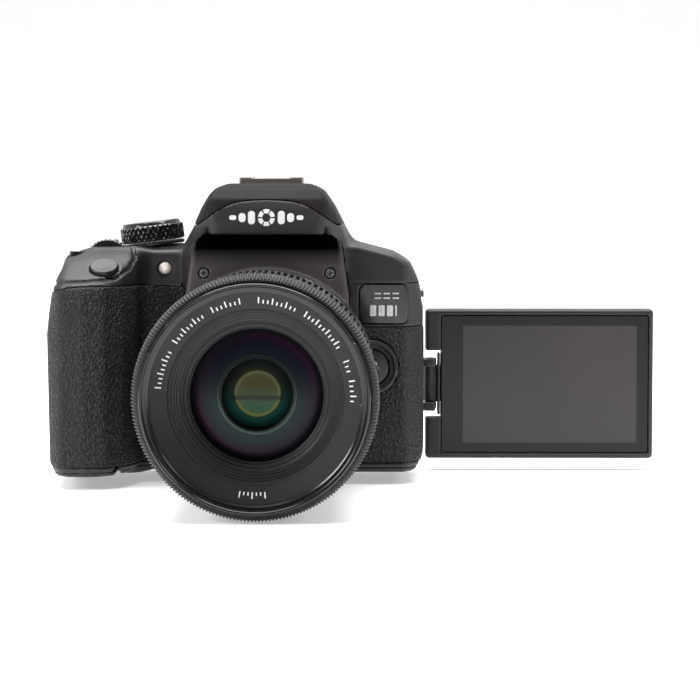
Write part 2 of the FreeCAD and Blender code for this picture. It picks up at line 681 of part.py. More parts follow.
# ---------------------------------------------------------------- controls, flash, screen and doors
def build_controls():
    keep("shutter_button", release_cylinder("release", "release_rad", 5.0, -2.2))
    keep("main_dial", rod("command_wheel", "Y", ("dial_x", "dial_z"), "dial_rad",
                          "dial_y - 3.5", "dial_y + 3.5"))
    dial = rod("mode_wheel", "Z", ("mode_x", "mode_y"), "mode_rad", "mode_z", "mode_z + mode_tall")
    turn = (Vector(0, 1, 0), -MODE_TILT, ("mode_x", "mode_y", "mode_z"))
    keep("mode_dial", slanted("mode", dial, *turn))
    ring = rod("power_ring", "Z", ("mode_x", "mode_y"), "11", "mode_z - 1.6", "mode_z - 0.3")
    lever = box("power_lever", "mode_x - 14.6", "mode_x - 8", "mode_y - 2.2", "mode_y + 2.2",
                "mode_z - 1.6", "mode_z - 0.3")
    tab = box("power_tab", "mode_x - 14.6", "mode_x - 12.2", "mode_y - 1.8", "mode_y + 1.8",
              "mode_z - 1.6", "mode_z + 2.4")
    keep("power_switch", slanted("power", join("power_parts", ring, lever, tab), *turn))
    keep("iso_button", rod("iso", "Z", ("-67", "-13"), "2.4", "deck_z - 5.5", "deck_z + 0.9"))
    keep("lens_release_button", rod("catch", "Y", ("catch_x", "catch_z"), "catch_rad",
                                    "front_y - 2.2", "front_y + 3"))
    for name, (spot, radius) in REAR_BUTTONS.items():
        face = "back_y" if value(spot[0]) < -26 else "recess_y"
        keep(name, rod(name + "_cap", "Y", spot, radius, f"{face} - 3.6", f"{face} + 0.5"))
    keep("quick_dial", tube("quick", "Y", ("quick_x", "quick_z"), "quick_rad", "5.2",
                            "back_y + 0.2", "back_y + 1.6"))
    keep("dioptre_knob", rod("dioptre", "X", ("28.4", "84"), "3.4", "-24.2", "-20"))


def build_flash():
    shell = hump_form("head_form", "0")
    region = box("head_region", "-40", "40", "-60", "flash_hinge_y", "flash_seam + gap", BEYOND)
    head = overlap("head", shell, region)
    hollow = overlap("head_hollow", hump_form("head_core", "wall"),
                     box("head_core_region", "-40", "40", "-26", "4", "flash_seam + 3", BEYOND))
    seat = box("window_seat", "-13.2", "13.2", "-26.2", "-13.8", "80", "flash_seam + 1.2")
    keep("flash_head", cut("head_cut", head, hollow, seat))
    keep("flash_window", box("window", "-13", "13", "-26", "-14",
                             "flash_seam + gap", "flash_seam + 1.1"))


def build_screen():
    around = ("hinge_x", "hinge_y")
    barrel = tube("arm_barrel", "Z", around, "2.4", "0.97", "screen_mid - barrel_half", "screen_mid + barrel_half")
    web = box("arm_web", "hinge_x + 1.6", "arm_right", "hinge_y - 2", "hinge_y + 2",
              "screen_mid - barrel_half", "screen_mid + barrel_half")
    block = box("arm_block", "hinge_x + 2.6", "arm_right", "hinge_y - 3.4", "hinge_y + 3.4",
                "screen_mid - arm_half", "screen_mid + arm_half")
    shaft = rod("arm_shaft", "X", ("hinge_y", "screen_mid"), "1.5", "hinge_x + 3", "66")
    keep("screen_arm", join("arm", barrel, web, block, shaft))
    low_z, high_z = "screen_mid - screen_tall / 2", "screen_mid + screen_tall / 2"
    low_y, high_y = "hinge_y - screen_thick / 2", "hinge_y + screen_thick / 2"
    outline = [("screen_left", low_z), ("screen_right", low_z), ("screen_right", high_z), ("screen_left", high_z)]
    slab = prism("slab", "XZ", outline, low_y, high_y, 2)
    seat = box("lcd_seat", "lcd_left - 0.1", "lcd_right + 0.1", "0", f"{low_y} + 2.2",
               "screen_mid - lcd_half - 0.1", "screen_mid + lcd_half + 0.1")
    notch = rod("notch", "X", ("hinge_y", "screen_mid"), "notch_rad", "screen_left - 1", "arm_right + 0.2")
    bore = rod("shaft_bore", "X", ("hinge_y", "screen_mid"), "1.55", "arm_right", "66.2")
    keep("screen_shell", cut("screen_case", slab, seat, notch, bore))
    keep("lcd_panel", box("lcd", "lcd_left", "lcd_right", f"{low_y} + 0.2", f"{low_y} + 2.1",
                          "screen_mid - lcd_half", "screen_mid + lcd_half"))


def build_doors():
    keep("battery_door", box("door", "door_left", "door_right", "door_front", "door_back", "0", "base_thick"))
    for name, hinge in (("terminal_cover_front", "flap_front"), ("terminal_cover_rear", "flap_rear")):
        keep(name, box(name + "_flap", "body_right - 1.2", "body_right", f"{hinge} + 0.4",
                       f"{hinge} + flap_long + 0.4", "flap_low", "flap_high"))


build_shells()
build_fixed_trim()
build_inside()
build_lens()
build_controls()
build_flash()
build_screen()
build_doors()
doc.recompute()

# ---------------------------------------------------------------- checks and files
for item in doc.Objects:
    if "Invalid" in item.State or "Error" in item.State:
        raise RuntimeError(f"{item.Name} failed: {item.State}")
for node, solid in nodes.items():
    if solid.Shape.isNull() or not solid.Shape.isValid() or not solid.Shape.Solids:
        raise RuntimeError(f"{node} has no valid solid")

os.makedirs("parts", exist_ok=True)
for node, solid in nodes.items():
    solid.Shape.exportStep(f"parts/{node}.step")
print(len(nodes), "nodes written")
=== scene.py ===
"""Looks of a single-lens reflex camera: shells, rubber skins, ribbed lens, glass, controls and screen.

Lengths in this script are millimetres in the frame of the CAD model; they become metres when a mesh is made.
"""
import functools
import math

import bmesh
import bpy
import numpy as np
from mathutils import Matrix, Vector


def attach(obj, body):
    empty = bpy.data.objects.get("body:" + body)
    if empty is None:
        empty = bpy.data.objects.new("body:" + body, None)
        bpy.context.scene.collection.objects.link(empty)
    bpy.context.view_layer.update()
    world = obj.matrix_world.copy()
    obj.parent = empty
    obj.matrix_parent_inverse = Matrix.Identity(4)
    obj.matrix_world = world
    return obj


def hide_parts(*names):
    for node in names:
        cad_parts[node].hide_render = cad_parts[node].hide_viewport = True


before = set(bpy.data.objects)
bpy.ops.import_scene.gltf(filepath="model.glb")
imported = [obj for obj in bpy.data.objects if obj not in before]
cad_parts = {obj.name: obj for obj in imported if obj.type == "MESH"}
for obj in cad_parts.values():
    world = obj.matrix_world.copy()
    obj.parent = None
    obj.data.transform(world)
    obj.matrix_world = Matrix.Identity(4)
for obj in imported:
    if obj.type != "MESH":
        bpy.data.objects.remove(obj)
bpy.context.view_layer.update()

MM = 0.001
STEP = 0.6
SEAM = 0.1
AXIS_Z = 34.6
CAMERA = "camera"


# ---------------------------------------------------------------- implicit shapes
def distance(*parts):
    return np.sqrt(sum(part * part for part in parts))


def smooth_union(one, other, blend):
    share = np.clip(0.5 + 0.5 * (other - one) / blend, 0, 1)
    return other + (one - other) * share - blend * share * (1 - share)


def smooth_overlap(one, other, blend):
    return -smooth_union(-one, -other, blend)


def carve(solid, tool, blend=0.5):
    """A solid less a tool, with a blended edge."""
    return smooth_overlap(solid, -tool, blend)


def cut(solid, tool):
    """A solid less a tool, with a sharp edge."""
    return np.maximum(solid, -tool)


def both(*solids):
    """What several solids share, with sharp edges."""
    return functools.reduce(np.maximum, solids)


def either(*solids):
    """Several solids together, with sharp edges."""
    return functools.reduce(np.minimum, solids)


def shrunk(corners, by):
    """The corners of an anticlockwise outline moved inwards."""
    moved = []
    for index, here in enumerate(corners):
        before, after = corners[index - 1], corners[(index + 1) % len(corners)]
        normals = []
        for start, end in ((before, here), (here, after)):
            run = math.dist(start, end)
            normals.append(((start[1] - end[1]) / run, (end[0] - start[0]) / run))
        scale = 1 + normals[0][0] * normals[1][0] + normals[0][1] * normals[1][1]
        moved.append([here[axis] + by * (normals[0][axis] + normals[1][axis]) / scale for axis in (0, 1)])
    return moved


def outline_distance(across, up, corners):
    """Signed distance to a closed outline."""
    nearest, side = None, 1.0
    for (ax, ay), (bx, by) in zip(corners, corners[1:] + corners[:1]):
        edge_x, edge_y = bx - ax, by - ay
        from_x, from_y = across - ax, up - ay
        share = np.clip((from_x * edge_x + from_y * edge_y) / (edge_x**2 + edge_y**2), 0, 1)
        gap = (from_x - edge_x * share) ** 2 + (from_y - edge_y * share) ** 2
        nearest = gap if nearest is None else np.minimum(nearest, gap)
        above_start, below_end, left = up >= ay, up < by, edge_x * from_y > edge_y * from_x
        crossing = (above_start & below_end & left) | (~above_start & ~below_end & ~left)
        side = np.where(crossing, -side, side)
    return side * np.sqrt(nearest)


def prism(point, along, corners, low, high, radius):
    """An outline padded along an axis, with every outer edge rounded."""
    across, up = [point[axis] for axis in range(3) if axis != along]
    flat = outline_distance(across, up, shrunk(corners, radius))
    tall = abs(point[along] - (low + high) / 2) - (high - low) / 2 + radius
    outside = distance(np.maximum(flat, 0), np.maximum(tall, 0))
    return np.minimum(np.maximum(flat, tall), 0) + outside - radius


def block(point, low, high, radius=0.0):
    """A box with rounded edges; None leaves a side open."""
    reach = []
    for axis in range(3):
        bottom = -500.0 if low[axis] is None else low[axis]
        top = 500.0 if high[axis] is None else high[axis]
        reach.append(abs(point[axis] - (bottom + top) / 2) - (top - bottom) / 2 + radius)
    outside = distance(*[np.maximum(part, 0) for part in reach])
    return np.minimum(np.maximum(np.maximum(reach[0], reach[1]), reach[2]), 0) + outside - radius


def post(point, centre, radius, axis=1, low=-500.0, high=500.0, tilt=None):
    """A round post along an axis, or along any unit vector given as tilt, measured from its centre."""
    offsets = [point[index] - centre[index] for index in range(3)]
    direction = tilt or tuple(float(index == axis) for index in range(3))
    height = sum(offset * part for offset, part in zip(offsets, direction))
    away = np.sqrt(np.maximum(sum(offset * offset for offset in offsets) - height * height, 0))
    return np.maximum(away - radius, np.maximum(low - height, height - high))


def surface_net(values, low, step):
    """Points and quads of the zero level of a sampled solid, one point in each cell that it crosses."""
    inside = values < 0
    size = [count - 1 for count in values.shape]
    corners = [(x, y, z) for x in (0, 1) for y in (0, 1) for z in (0, 1)]
    filled = sum(
        inside[tuple(slice(shift, shift + count) for shift, count in zip(corner, size))].astype(np.int8)
        for corner in corners
    )
    crossed = (filled > 0) & (filled < 8)
    cells = np.argwhere(crossed)
    samples = {corner: values[tuple((cells + corner).T)] for corner in corners}
    total, hits = np.zeros((len(cells), 3)), np.zeros(len(cells))
    for axis in range(3):
        for corner in (item for item in corners if not item[axis]):
            far = tuple(1 if index == axis else item for index, item in enumerate(corner))
            near_value, far_value = samples[corner], samples[far]
            cut = (near_value < 0) != (far_value < 0)
            share = np.where(cut, near_value / np.where(cut, near_value - far_value, 1), 0)
            spot = np.tile(np.array(corner, float), (len(cells), 1))
            spot[:, axis] = share
            total += spot * cut[:, None]
            hits += cut
    points = np.array(low) + step * (cells + total / hits[:, None])
    number = np.full(crossed.shape, -1)
    number[crossed] = np.arange(len(cells))
    return points, net_faces(inside, number)


def net_faces(inside, number):
    faces = []
    for axis in range(3):
        first, second = [index for index in range(3) if index != axis]
        near = [slice(None)] * 3
        far = [slice(None)] * 3
        near[axis], far[axis] = slice(0, -1), slice(1, None)
        edges = np.argwhere(inside[tuple(near)] != inside[tuple(far)])
        keep = (edges[:, first] > 0) & (edges[:, second] > 0)
        keep &= (edges[:, first] < inside.shape[first] - 1) & (edges[:, second] < inside.shape[second] - 1)
        edges = edges[keep]
        loop = []
        for back_first, back_second in ((0, 0), (1, 0), (1, 1), (0, 1)):
            cell = edges.copy()
            cell[:, first] -= back_first
            cell[:, second] -= back_second
            loop.append(number[tuple(cell.T)])
        quads = np.stack(loop, axis=1)
        solid_first = inside[tuple(edges.T)]
        turn = solid_first if axis != 1 else ~solid_first
        quads[~turn] = quads[~turn][:, ::-1]
        faces.append(quads)
    return np.concatenate(faces)


def settle(points, field, step):
    """Moves the points of a net onto the exact surface of the solid."""
    nudge = 0.04
    for _ in range(2):
        value = field(tuple(points.T))
        slope = np.zeros_like(points)
        for axis in range(3):
            shifted = points.copy()
            shifted[:, axis] += nudge
            slope[:, axis] = (field(tuple(shifted.T)) - value) / nudge
        steep = np.maximum((slope * slope).sum(axis=1), 0.2)
        move = np.clip(value / steep, -0.4 * step, 0.4 * step)
        points = points - slope * move[:, None]
    return points


# ---------------------------------------------------------------- meshes
def make_mesh(name, points, faces, material, body, smooth_angle=40):
    mesh = bpy.data.meshes.new(name)
    spots = [tuple(point) for point in np.asarray(points, float) * MM]
    mesh.from_pydata(spots, [], [list(face) for face in faces])
    mesh.update()
    piece = bpy.data.objects.new(name, mesh)
    bpy.context.scene.collection.objects.link(piece)
    mesh.materials.append(material)
    mesh.shade_smooth()
    mesh.set_sharp_from_angle(angle=math.radians(smooth_angle))
    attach(piece, body)
    return piece


def net_piece(name, field, low, high, material, body=CAMERA, step=None, smooth_angle=50):
    """A solid given by a field, as one mesh."""
    step = step or STEP
    ticks = [np.arange(low[axis] - 2 * step, high[axis] + 3 * step, step) for axis in range(3)]
    grid = (ticks[0][:, None, None], ticks[1][None, :, None], ticks[2][None, None, :])
    values = np.ascontiguousarray(np.broadcast_to(field(grid), [len(tick) for tick in ticks]))
    points, faces = surface_net(values, [tick[0] for tick in ticks], step)
    return make_mesh(name, settle(points, field, step), faces, material, body, smooth_angle)


def lathe(name, profile, material, body, centre=(0, 0, AXIS_Z), axis="Y", segments=192, wave=None,
          smooth_angle=32):
    """A closed outline of (radius, place along the axis) turned about the axis; wave changes the radius."""
    angles = np.linspace(0, 2 * math.pi, segments, endpoint=False)
    rings, count = [], len(profile)
    for index, (radius, place) in enumerate(profile):
        reach = np.full(segments, float(radius))
        if wave is not None:
            reach = reach + wave(angles, index)
        rings.append(np.stack([reach * np.cos(angles), np.full(segments, float(place)),
                               reach * np.sin(angles)], 1))
    points = np.concatenate(rings)
    faces = []
    for index in range(count):
        after = (index + 1) % count
        if profile[index][0] == 0 and profile[after][0] == 0:
            continue
        for step in range(segments):
            following = (step + 1) % segments
            corner = [index * segments + step, after * segments + step,
                      after * segments + following, index * segments + following]
            if profile[index][0] == 0:
                corner = [index * segments, corner[1], corner[2]]
            elif profile[after][0] == 0:
                corner = [corner[0], after * segments, corner[3]]
            faces.append(corner)
    points = place_points(points, centre, axis)
    used = sorted({corner for face in faces for corner in face})
    renumber = {old: new for new, old in enumerate(used)}
    faces = [[renumber[corner] for corner in face] for face in faces]
    piece = make_mesh(name, points[used], faces, material, body, smooth_angle)
    face_outwards(piece)
    return piece


def place_points(points, centre, axis):
    """Turns points built about the Y axis to the wanted axis and moves them to the centre."""
    direction = {"X": Vector((1, 0, 0)), "Y": Vector((0, 1, 0)), "Z": Vector((0, 0, 1))}.get(axis)
    direction = direction if direction is not None else Vector(axis)
    turn = Vector((0, 1, 0)).rotation_difference(direction).to_matrix()
    return points @ np.array(turn).T + np.array(centre, float)


def face_outwards(piece):
    work = bmesh.new()
    work.from_mesh(piece.data)
    bmesh.ops.recalc_face_normals(work, faces=work.faces)
    work.to_mesh(piece.data)
    work.free()


def rounded_edges(low, high, edge, steps):
    """Pairs of (inset, height) round the lower edge of a plate and then round its upper edge."""
    turns = [math.pi / 2 * step / steps for step in range(steps + 1)]
    lower = [(edge - edge * math.sin(turn), low + edge - edge * math.cos(turn)) for turn in turns]
    upper = [(edge - edge * math.cos(turn), high - edge + edge * math.sin(turn)) for turn in turns]
    return lower + upper


def rounded_profile(radius, low, high, edge, steps=5):
    """The outline of a disc with rounded edges, for turning."""
    corners = [(radius - inset, height) for inset, height in rounded_edges(low, high, edge, steps)]
    return [(0.0, low)] + corners + [(0.0, high)]


def slab_piece(name, outline, low, high, material, body, along=1, edge=0.4, steps=3, smooth_angle=40):
    """A flat plate of any outline, padded along an axis, with a rounded front edge on both faces."""
    points, faces, count = [], [], len(outline)
    levels = rounded_edges(low, high, edge, steps)
    for by, place in levels:
        for across, up in shrunk(outline, by):
            spot = [across, up]
            spot.insert(along, place)
            points.append(spot)
    for level in range(len(levels) - 1):
        for index in range(count):
            following = (index + 1) % count
            faces.append([level * count + index, level * count + following,
                          (level + 1) * count + following, (level + 1) * count + index])
    faces.append(list(range(count)))
    faces.append(list(range((len(levels) - 1) * count, len(levels) * count)))
    piece = make_mesh(name, points, faces, material, body, smooth_angle)
    face_outwards(piece)
    return piece


def add_padded(points, faces, near, far):
    """Adds the closed solid between two outlines that match point for point."""
    start, count = len(points), len(near)
    points += near + far
    faces.append([start + index for index in reversed(range(count))])
    faces.append([start + count + index for index in range(count)])
    for index in range(count):
        after = (index + 1) % count
        faces.append([start + index, start + after, start + count + after, start + count + index])


def kept_to(first, last, wave):
    """A wave that acts on some rows of a profile only."""
    return lambda angles, index: wave(angles, index) if first <= index <= last else 0.0 * angles


def grooves(count, depth, sharp, offset=0.0):
    """A wave of clipped grooves round a dial."""
    return lambda angles, index: -depth * np.clip((np.cos(count * angles) + offset) * sharp, 0, 1)


def round_rectangle(left, right, bottom, top, radius, steps=6):
    """An anticlockwise outline with arcs at its corners."""
    outline = []
    for centre_x, centre_y, start in ((right - radius, bottom + radius, -90),
                                      (right - radius, top - radius, 0),
                                      (left + radius, top - radius, 90),
                                      (left + radius, bottom + radius, 180)):
        for step in range(steps + 1):
            angle = math.radians(start + 90 * step / steps)
            outline.append((centre_x + radius * math.cos(angle), centre_y + radius * math.sin(angle)))
    return outline


# ---------------------------------------------------------------- materials
class Nodes:
    """A short way to write a node material."""

    def __init__(self, name):
        self.material = bpy.data.materials.new(name)
        self.material.use_nodes = True
        self.tree = self.material.node_tree
        self.shader = self.tree.nodes["Principled BSDF"]
        self.coords = self.tree.nodes.new("ShaderNodeTexCoord").outputs["Object"]

    def add(self, kind, links=None, **settings):
        node = self.tree.nodes.new("ShaderNode" + kind)
        for key, setting in settings.items():
            setattr(node, key, setting)
        for socket, source in (links or {}).items():
            self.put(node.inputs[socket], source)
        return node

    def put(self, socket, source):
        if isinstance(source, bpy.types.NodeSocket):
            self.tree.links.new(source, socket)
        else:
            socket.default_value = source

    def noise(self, scale, detail=4, rough=0.55, coords=None):
        return self.add("TexNoise", {"Vector": coords or self.coords, "Scale": scale, "Detail": detail,
                                     "Roughness": rough}).outputs["Fac"]

    def cells(self, scale, coords=None, smooth=0.6):
        node = self.add("TexVoronoi", feature="SMOOTH_F1")
        self.put(node.inputs["Vector"], coords or self.coords)
        self.put(node.inputs["Scale"], scale)
        self.put(node.inputs["Smoothness"], smooth)
        return node.outputs["Distance"]

    def math(self, operation, one, other=0.0, third=0.0, clamp=False):
        return self.add("Math", {0: one, 1: other, 2: third}, operation=operation,
                        use_clamp=clamp).outputs[0]

    def span(self, source, low, high, to_low=0.0, to_high=1.0):
        return self.add("MapRange", {"Value": source, "From Min": low, "From Max": high, "To Min": to_low,
                                     "To Max": to_high}).outputs["Result"]

    def mix(self, share, one, other):
        node = self.add("Mix", data_type="RGBA")
        self.put(node.inputs[0], share)
        self.put(node.inputs[6], one)
        self.put(node.inputs[7], other)
        return node.outputs[2]

    def bump(self, height, strength, depth, normal=None):
        links = {"Height": height, "Strength": strength, "Distance": depth}
        if normal is not None:
            links["Normal"] = normal
        return self.add("Bump", links).outputs["Normal"]

    def set(self, **values):
        names = {"colour": "Base Color", "rough": "Roughness", "metal": "Metallic", "normal": "Normal",
                 "coat": "Coat Weight", "coat_rough": "Coat Roughness", "specular": "Specular IOR Level",
                 "ior": "IOR", "glass": "Transmission Weight", "glow": "Emission Color",
                 "glow_strength": "Emission Strength", "alpha": "Alpha", "sheen": "Sheen Weight"}
        for key, value in values.items():
            self.put(self.shader.inputs[names[key]], value)
        return self.material


def grey(value, warm=0.0):
    """A near-neutral shade; the dark ones lean a touch towards plum, as dyed black plastic does."""
    lean = 1.0 if value < 0.08 else 0.0
    return (value * (1 + 0.05 * lean + warm), value * (1 - 0.1 * lean), value * (1 + 0.04 * lean - warm), 1)


# Where the painted shade in the cove fades in and out, along Z and Y, in metres.
COVE_SHADE_FADES = (("Z", 0.0722, 0.0782, 0, 1), ("Z", 0.0852, 0.0862, 1, 0),
              ("Y", -0.0296, -0.0286, 0, 1), ("Y", -0.0185, -0.0175, 1, 0))


def painted_cove_shade(kit, reach):
    """How deep a point lies in the cove under the flash housing, 0 to 1; it marks where painted shade
    blackens the cove.
    """
    apart = kit.add("SeparateXYZ", {0: kit.coords})
    share = kit.span(kit.math("ABSOLUTE", apart.outputs["X"]), reach - 0.0025, reach, 1, 0)
    for axis, low, high, first, last in COVE_SHADE_FADES:
        share = kit.math("MULTIPLY", share, kit.span(apart.outputs[axis], low, high, first, last))
    return share


def moulded(name, shade, rough, grain=3600, depth=0.00006, wear=0.25, warm=0.02, specular=0.42, cove=0.0):
    """Fine-grained moulded plastic: spark-eroded grain, faint blotches, edges rubbed a little shinier; with a
    cove reach, painted shade turns the cove under the flash housing black.
    """
    kit = Nodes(name)
    blotch = kit.noise(55, 3)
    speck = kit.noise(grain, 2, 0.6)
    edge = kit.span(kit.add("NewGeometry").outputs["Pointiness"], 0.505, 0.56)
    worn = kit.math("MULTIPLY", edge, wear)
    tone = kit.mix(kit.span(blotch, 0.3, 0.7), grey(shade * 0.85, warm), grey(shade * 1.15, warm))
    tone = kit.mix(kit.span(speck, 0.55, 0.85, 0, 0.35), tone, grey(shade * 2.1, warm))
    tone = kit.mix(worn, tone, grey(shade * 2.6, warm))
    roughness = kit.math("ADD", kit.span(blotch, 0.3, 0.7, rough - 0.04, rough + 0.05),
                         kit.math("MULTIPLY", edge, -0.12))
    if cove:
        # Painted shade: inside the cove the tone goes to near black and the specular to none.
        painted_shade_share = painted_cove_shade(kit, cove)
        tone = kit.mix(painted_shade_share, tone, grey(0.0006))
        specular = kit.math("MULTIPLY", kit.math("SUBTRACT", 1.0, painted_shade_share), specular)
    normal = kit.bump(speck, 0.55, depth)
    return kit.set(colour=tone, rough=roughness, normal=normal, specular=specular)


def leather(name, shade=0.016):
    """Rubber with a pebbled leather grain: rounded cells between fine creases."""
    kit = Nodes(name)
    sway = kit.add("TexNoise", {"Vector": kit.coords, "Scale": 700.0, "Detail": 2.0})
    offset = kit.add("VectorMath", {0: sway.outputs["Color"], 1: (0.0006, 0.0006, 0.0006)},
                     operation="MULTIPLY")
    coords = kit.add("VectorMath", {0: kit.coords, 1: offset.outputs[0]}, operation="ADD").outputs[0]
    pebble = kit.span(kit.cells(950, coords, 0.25), 0.15, 0.6, 1, 0)
    small = kit.span(kit.cells(2300, coords, 0.3), 0.1, 0.6, 1, 0)
    fine = kit.noise(6000, 3)
    height = kit.math("ADD", pebble, kit.math("MULTIPLY", small, 0.35))
    normal = kit.bump(height, 1.0, 0.00042)
    normal = kit.bump(fine, 0.4, 0.00004, normal)
    # Painted shade and highlight: the creases are painted darker and the pebble tops lighter.
    tone = kit.mix(kit.span(height, 0.1, 1.1), grey(shade * 0.3), grey(shade * 1.7, 0.02))
    roughness = kit.span(height, 0, 1.2, 0.6, 0.36)
    return kit.set(colour=tone, rough=roughness, normal=normal, specular=0.4)


def satin_metal(name, shade, rough, metal=1.0, streak=0.0, warm=0.0):
    """Machined or painted metal with fine turning marks and small scuffs."""
    kit = Nodes(name)
    stretched = kit.add("Mapping", {"Vector": kit.coords, "Scale": (1.0, 1.0 + streak, 1.0)}).outputs[0]
    lines = kit.noise(2600, 2, 0.5, stretched)
    scuff = kit.span(kit.noise(260, 5, 0.7), 0.58, 0.72)
    edge = kit.span(kit.add("NewGeometry").outputs["Pointiness"], 0.51, 0.58)
    tone = kit.mix(kit.span(lines, 0.3, 0.7), grey(shade * 0.86, warm), grey(shade * 1.1, warm))
    tone = kit.mix(kit.math("MULTIPLY", edge, 0.35), tone, grey(min(1.0, shade * 1.6 + 0.05), warm))
    roughness = kit.math("ADD", kit.span(lines, 0.3, 0.7, rough - 0.05, rough + 0.07),
                         kit.math("MULTIPLY", scuff, 0.1))
    return kit.set(colour=tone, rough=roughness, metal=metal, normal=kit.bump(lines, 0.25, 0.00003))


def glossy(name, shade, rough=0.12, coat=0.4):
    """Polished plastic with a faint orange peel and dust-fine wear."""
    kit = Nodes(name)
    peel = kit.noise(500, 2)
    dust = kit.span(kit.noise(5200, 3, 0.7), 0.62, 0.8)
    base = grey(shade)
    dusty = tuple(min(1, part * 1.6 + 0.01) for part in base[:3]) + (1,)
    tone = kit.mix(kit.math("MULTIPLY", dust, 0.25), base, dusty)
    roughness = kit.math("ADD", kit.span(peel, 0.3, 0.7, rough - 0.03, rough + 0.04),
                         kit.math("MULTIPLY", dust, 0.12))
    return kit.set(colour=tone, rough=roughness, normal=kit.bump(peel, 0.06, 0.00004), coat=coat,
                   coat_rough=0.06)


def paint_mark(name, colour):
    """Printed or filled marks, very slightly uneven."""
    kit = Nodes(name)
    uneven = kit.noise(1800, 3)
    dark = tuple(part * 0.82 for part in colour) + (1,)
    tone = kit.mix(kit.span(uneven, 0.3, 0.7), dark, colour + (1,))
    return kit.set(colour=tone, rough=kit.span(uneven, 0.3, 0.7, 0.42, 0.55),
                   normal=kit.bump(uneven, 0.1, 0.00002))


# Both black plastics of the front carry painted shade in the cove under the flash housing.
body_black = moulded("body_black", 0.014, 0.47, cove=0.0228)
plate_black = moulded("plate_black", 0.042, 0.42, wear=0.2, cove=0.0268)
flash_cap = moulded("flash_cap", 0.009, 0.62, warm=0.08, specular=0.12)
skin = leather("grip_leather", 0.0095)
soft_black = moulded("soft_rubber", 0.012, 0.72, grain=2400, wear=0.1)
lens_black = moulded("lens_black", 0.013, 0.36, grain=3000, depth=0.00003, wear=0.35)
baffle_black = moulded("baffle_black", 0.007, 0.55, grain=3000, depth=0.00003, wear=0.12)
ridge_rubber = moulded("ridge_rubber", 0.014, 0.45, grain=2600, wear=0.05)
rim_satin = glossy("rim_satin", 0.004, rough=0.2, coat=0.0)
gloss_black = glossy("gloss_black", 0.012)
steel = satin_metal("steel", 0.62, 0.3, streak=8.0)
dark_steel = satin_metal("dark_steel", 0.09, 0.34)
screw_black = satin_metal("screw_black", 0.11, 0.36, metal=0.0)
shoe_metal = satin_metal("shoe_metal", 0.22, 0.42, metal=0.7, warm=0.08)
white_mark = paint_mark("white_mark", (0.82, 0.82, 0.8))
red_mark = paint_mark("red_mark", (0.6, 0.03, 0.02))
silver_mark = satin_metal("silver_mark", 0.6, 0.3)


# ---------------------------------------------------------------- body shape
PAD_ANGLE = math.radians(30)
DECK_Z = 76.0
SILHOUETTE = [(-72.8, 0), (51, 0), (55, 6), (56.8, 16), (56.8, 44), (55.2, 56), (52.8, 66), (49.6, 72.6),
              (43.8, 76),
              (30.8, 79.4), (-31, 77.4), (-61, 77.2), (-69.6, 74.6), (-73.4, 64.5), (-77.2, 49), (-75.6, 5)]
CORE_PLAN = [(-77.2, -12), (-30, -12), (-26, -20), (48, -20), (54, -12), (54, 18), (48, 26.8), (-66, 27),
             (-74, 22), (-77.2, 12)]
GRIP_PLAN = [(-77.2, 6), (-77.2, -24), (-75.4, -32.5), (-70, -38.2), (-62.5, -39.2), (-55.5, -37.4),
             (-49.4, -31), (-46, -22), (-44.6, -10), (-44, 6)]
HUMP_SIDE = [(-24, 70), (28, 70), (29, 80), (28.8, 90), (26, 98.9), (9, 99.2), (-4, 100.6), (-16, 100.2),
             (-24.6, 98.2), (-28.8, 95.4), (-30.7, 91.6), (-31.3, 87.2), (-30.4, 83.2), (-24, 79)]
HUMP_FRONT = [(-34, 70), (34, 70), (30.8, 79), (26.4, 85.2), (22.7, 92.5), (18.6, 98.6), (14.2, 101.6),
              (-14.2, 101.6), (-18.6, 98.6), (-22.7, 92.5), (-26.4, 85.2), (-30.8, 79)]
HUMP_PLAN = [(-19, -31.2), (19, -31.2), (26.8, -17), (31, 0), (28, 30), (-28, 30), (-31, 0), (-26.8, -17)]
PLATE = [(-27.2, 4), (27.2, 4), (28.6, 40), (28.2, 62), (25.6, 79.5), (22, 83), (-22, 83), (-25.6, 79.5),
         (-28.2, 62), (-28.6, 40)]


def pad_plane(point):
    """The slope under the shutter button."""
    rise = (point[1] + 22) * math.tan(PAD_ANGLE)
    return (point[2] - DECK_Z - rise) * math.cos(PAD_ANGLE)


def hump_solid(point):
    """The prism hump with the flash housing, before its cove is cut."""
    side = prism(point, 0, HUMP_SIDE, -60, 60, 2.6)
    front = prism(point, 1, HUMP_FRONT, -60, 60, 4.0)
    plan = prism(point, 2, HUMP_PLAN, 40, 120, 5.0)
    return smooth_overlap(smooth_overlap(side, front, 2.4), plan, 3.0)


def hollow_solid(point):
    """The cove under the lip of the flash housing: deepest at its top, fading out below and to the sides."""
    drop = np.clip((84.6 - point[2]) / 11.8, 0, 1)
    side = np.clip((np.abs(point[0]) - 17.0) / 6.5, 0, 1)
    depth = 1.9 * (1 + np.cos(math.pi * drop)) * (1 + np.cos(math.pi * side))
    cove = (point[1] + 27.8 - depth) * 0.75
    lip = 83.7 + 1.8 * np.exp(-(((np.abs(point[0]) - 19.5) / 5.5) ** 2))
    cove = both(cove, distance(np.abs(point[0]) - 30, 66 - point[2]))
    return smooth_overlap(cove, point[2] - lip, 1.0)


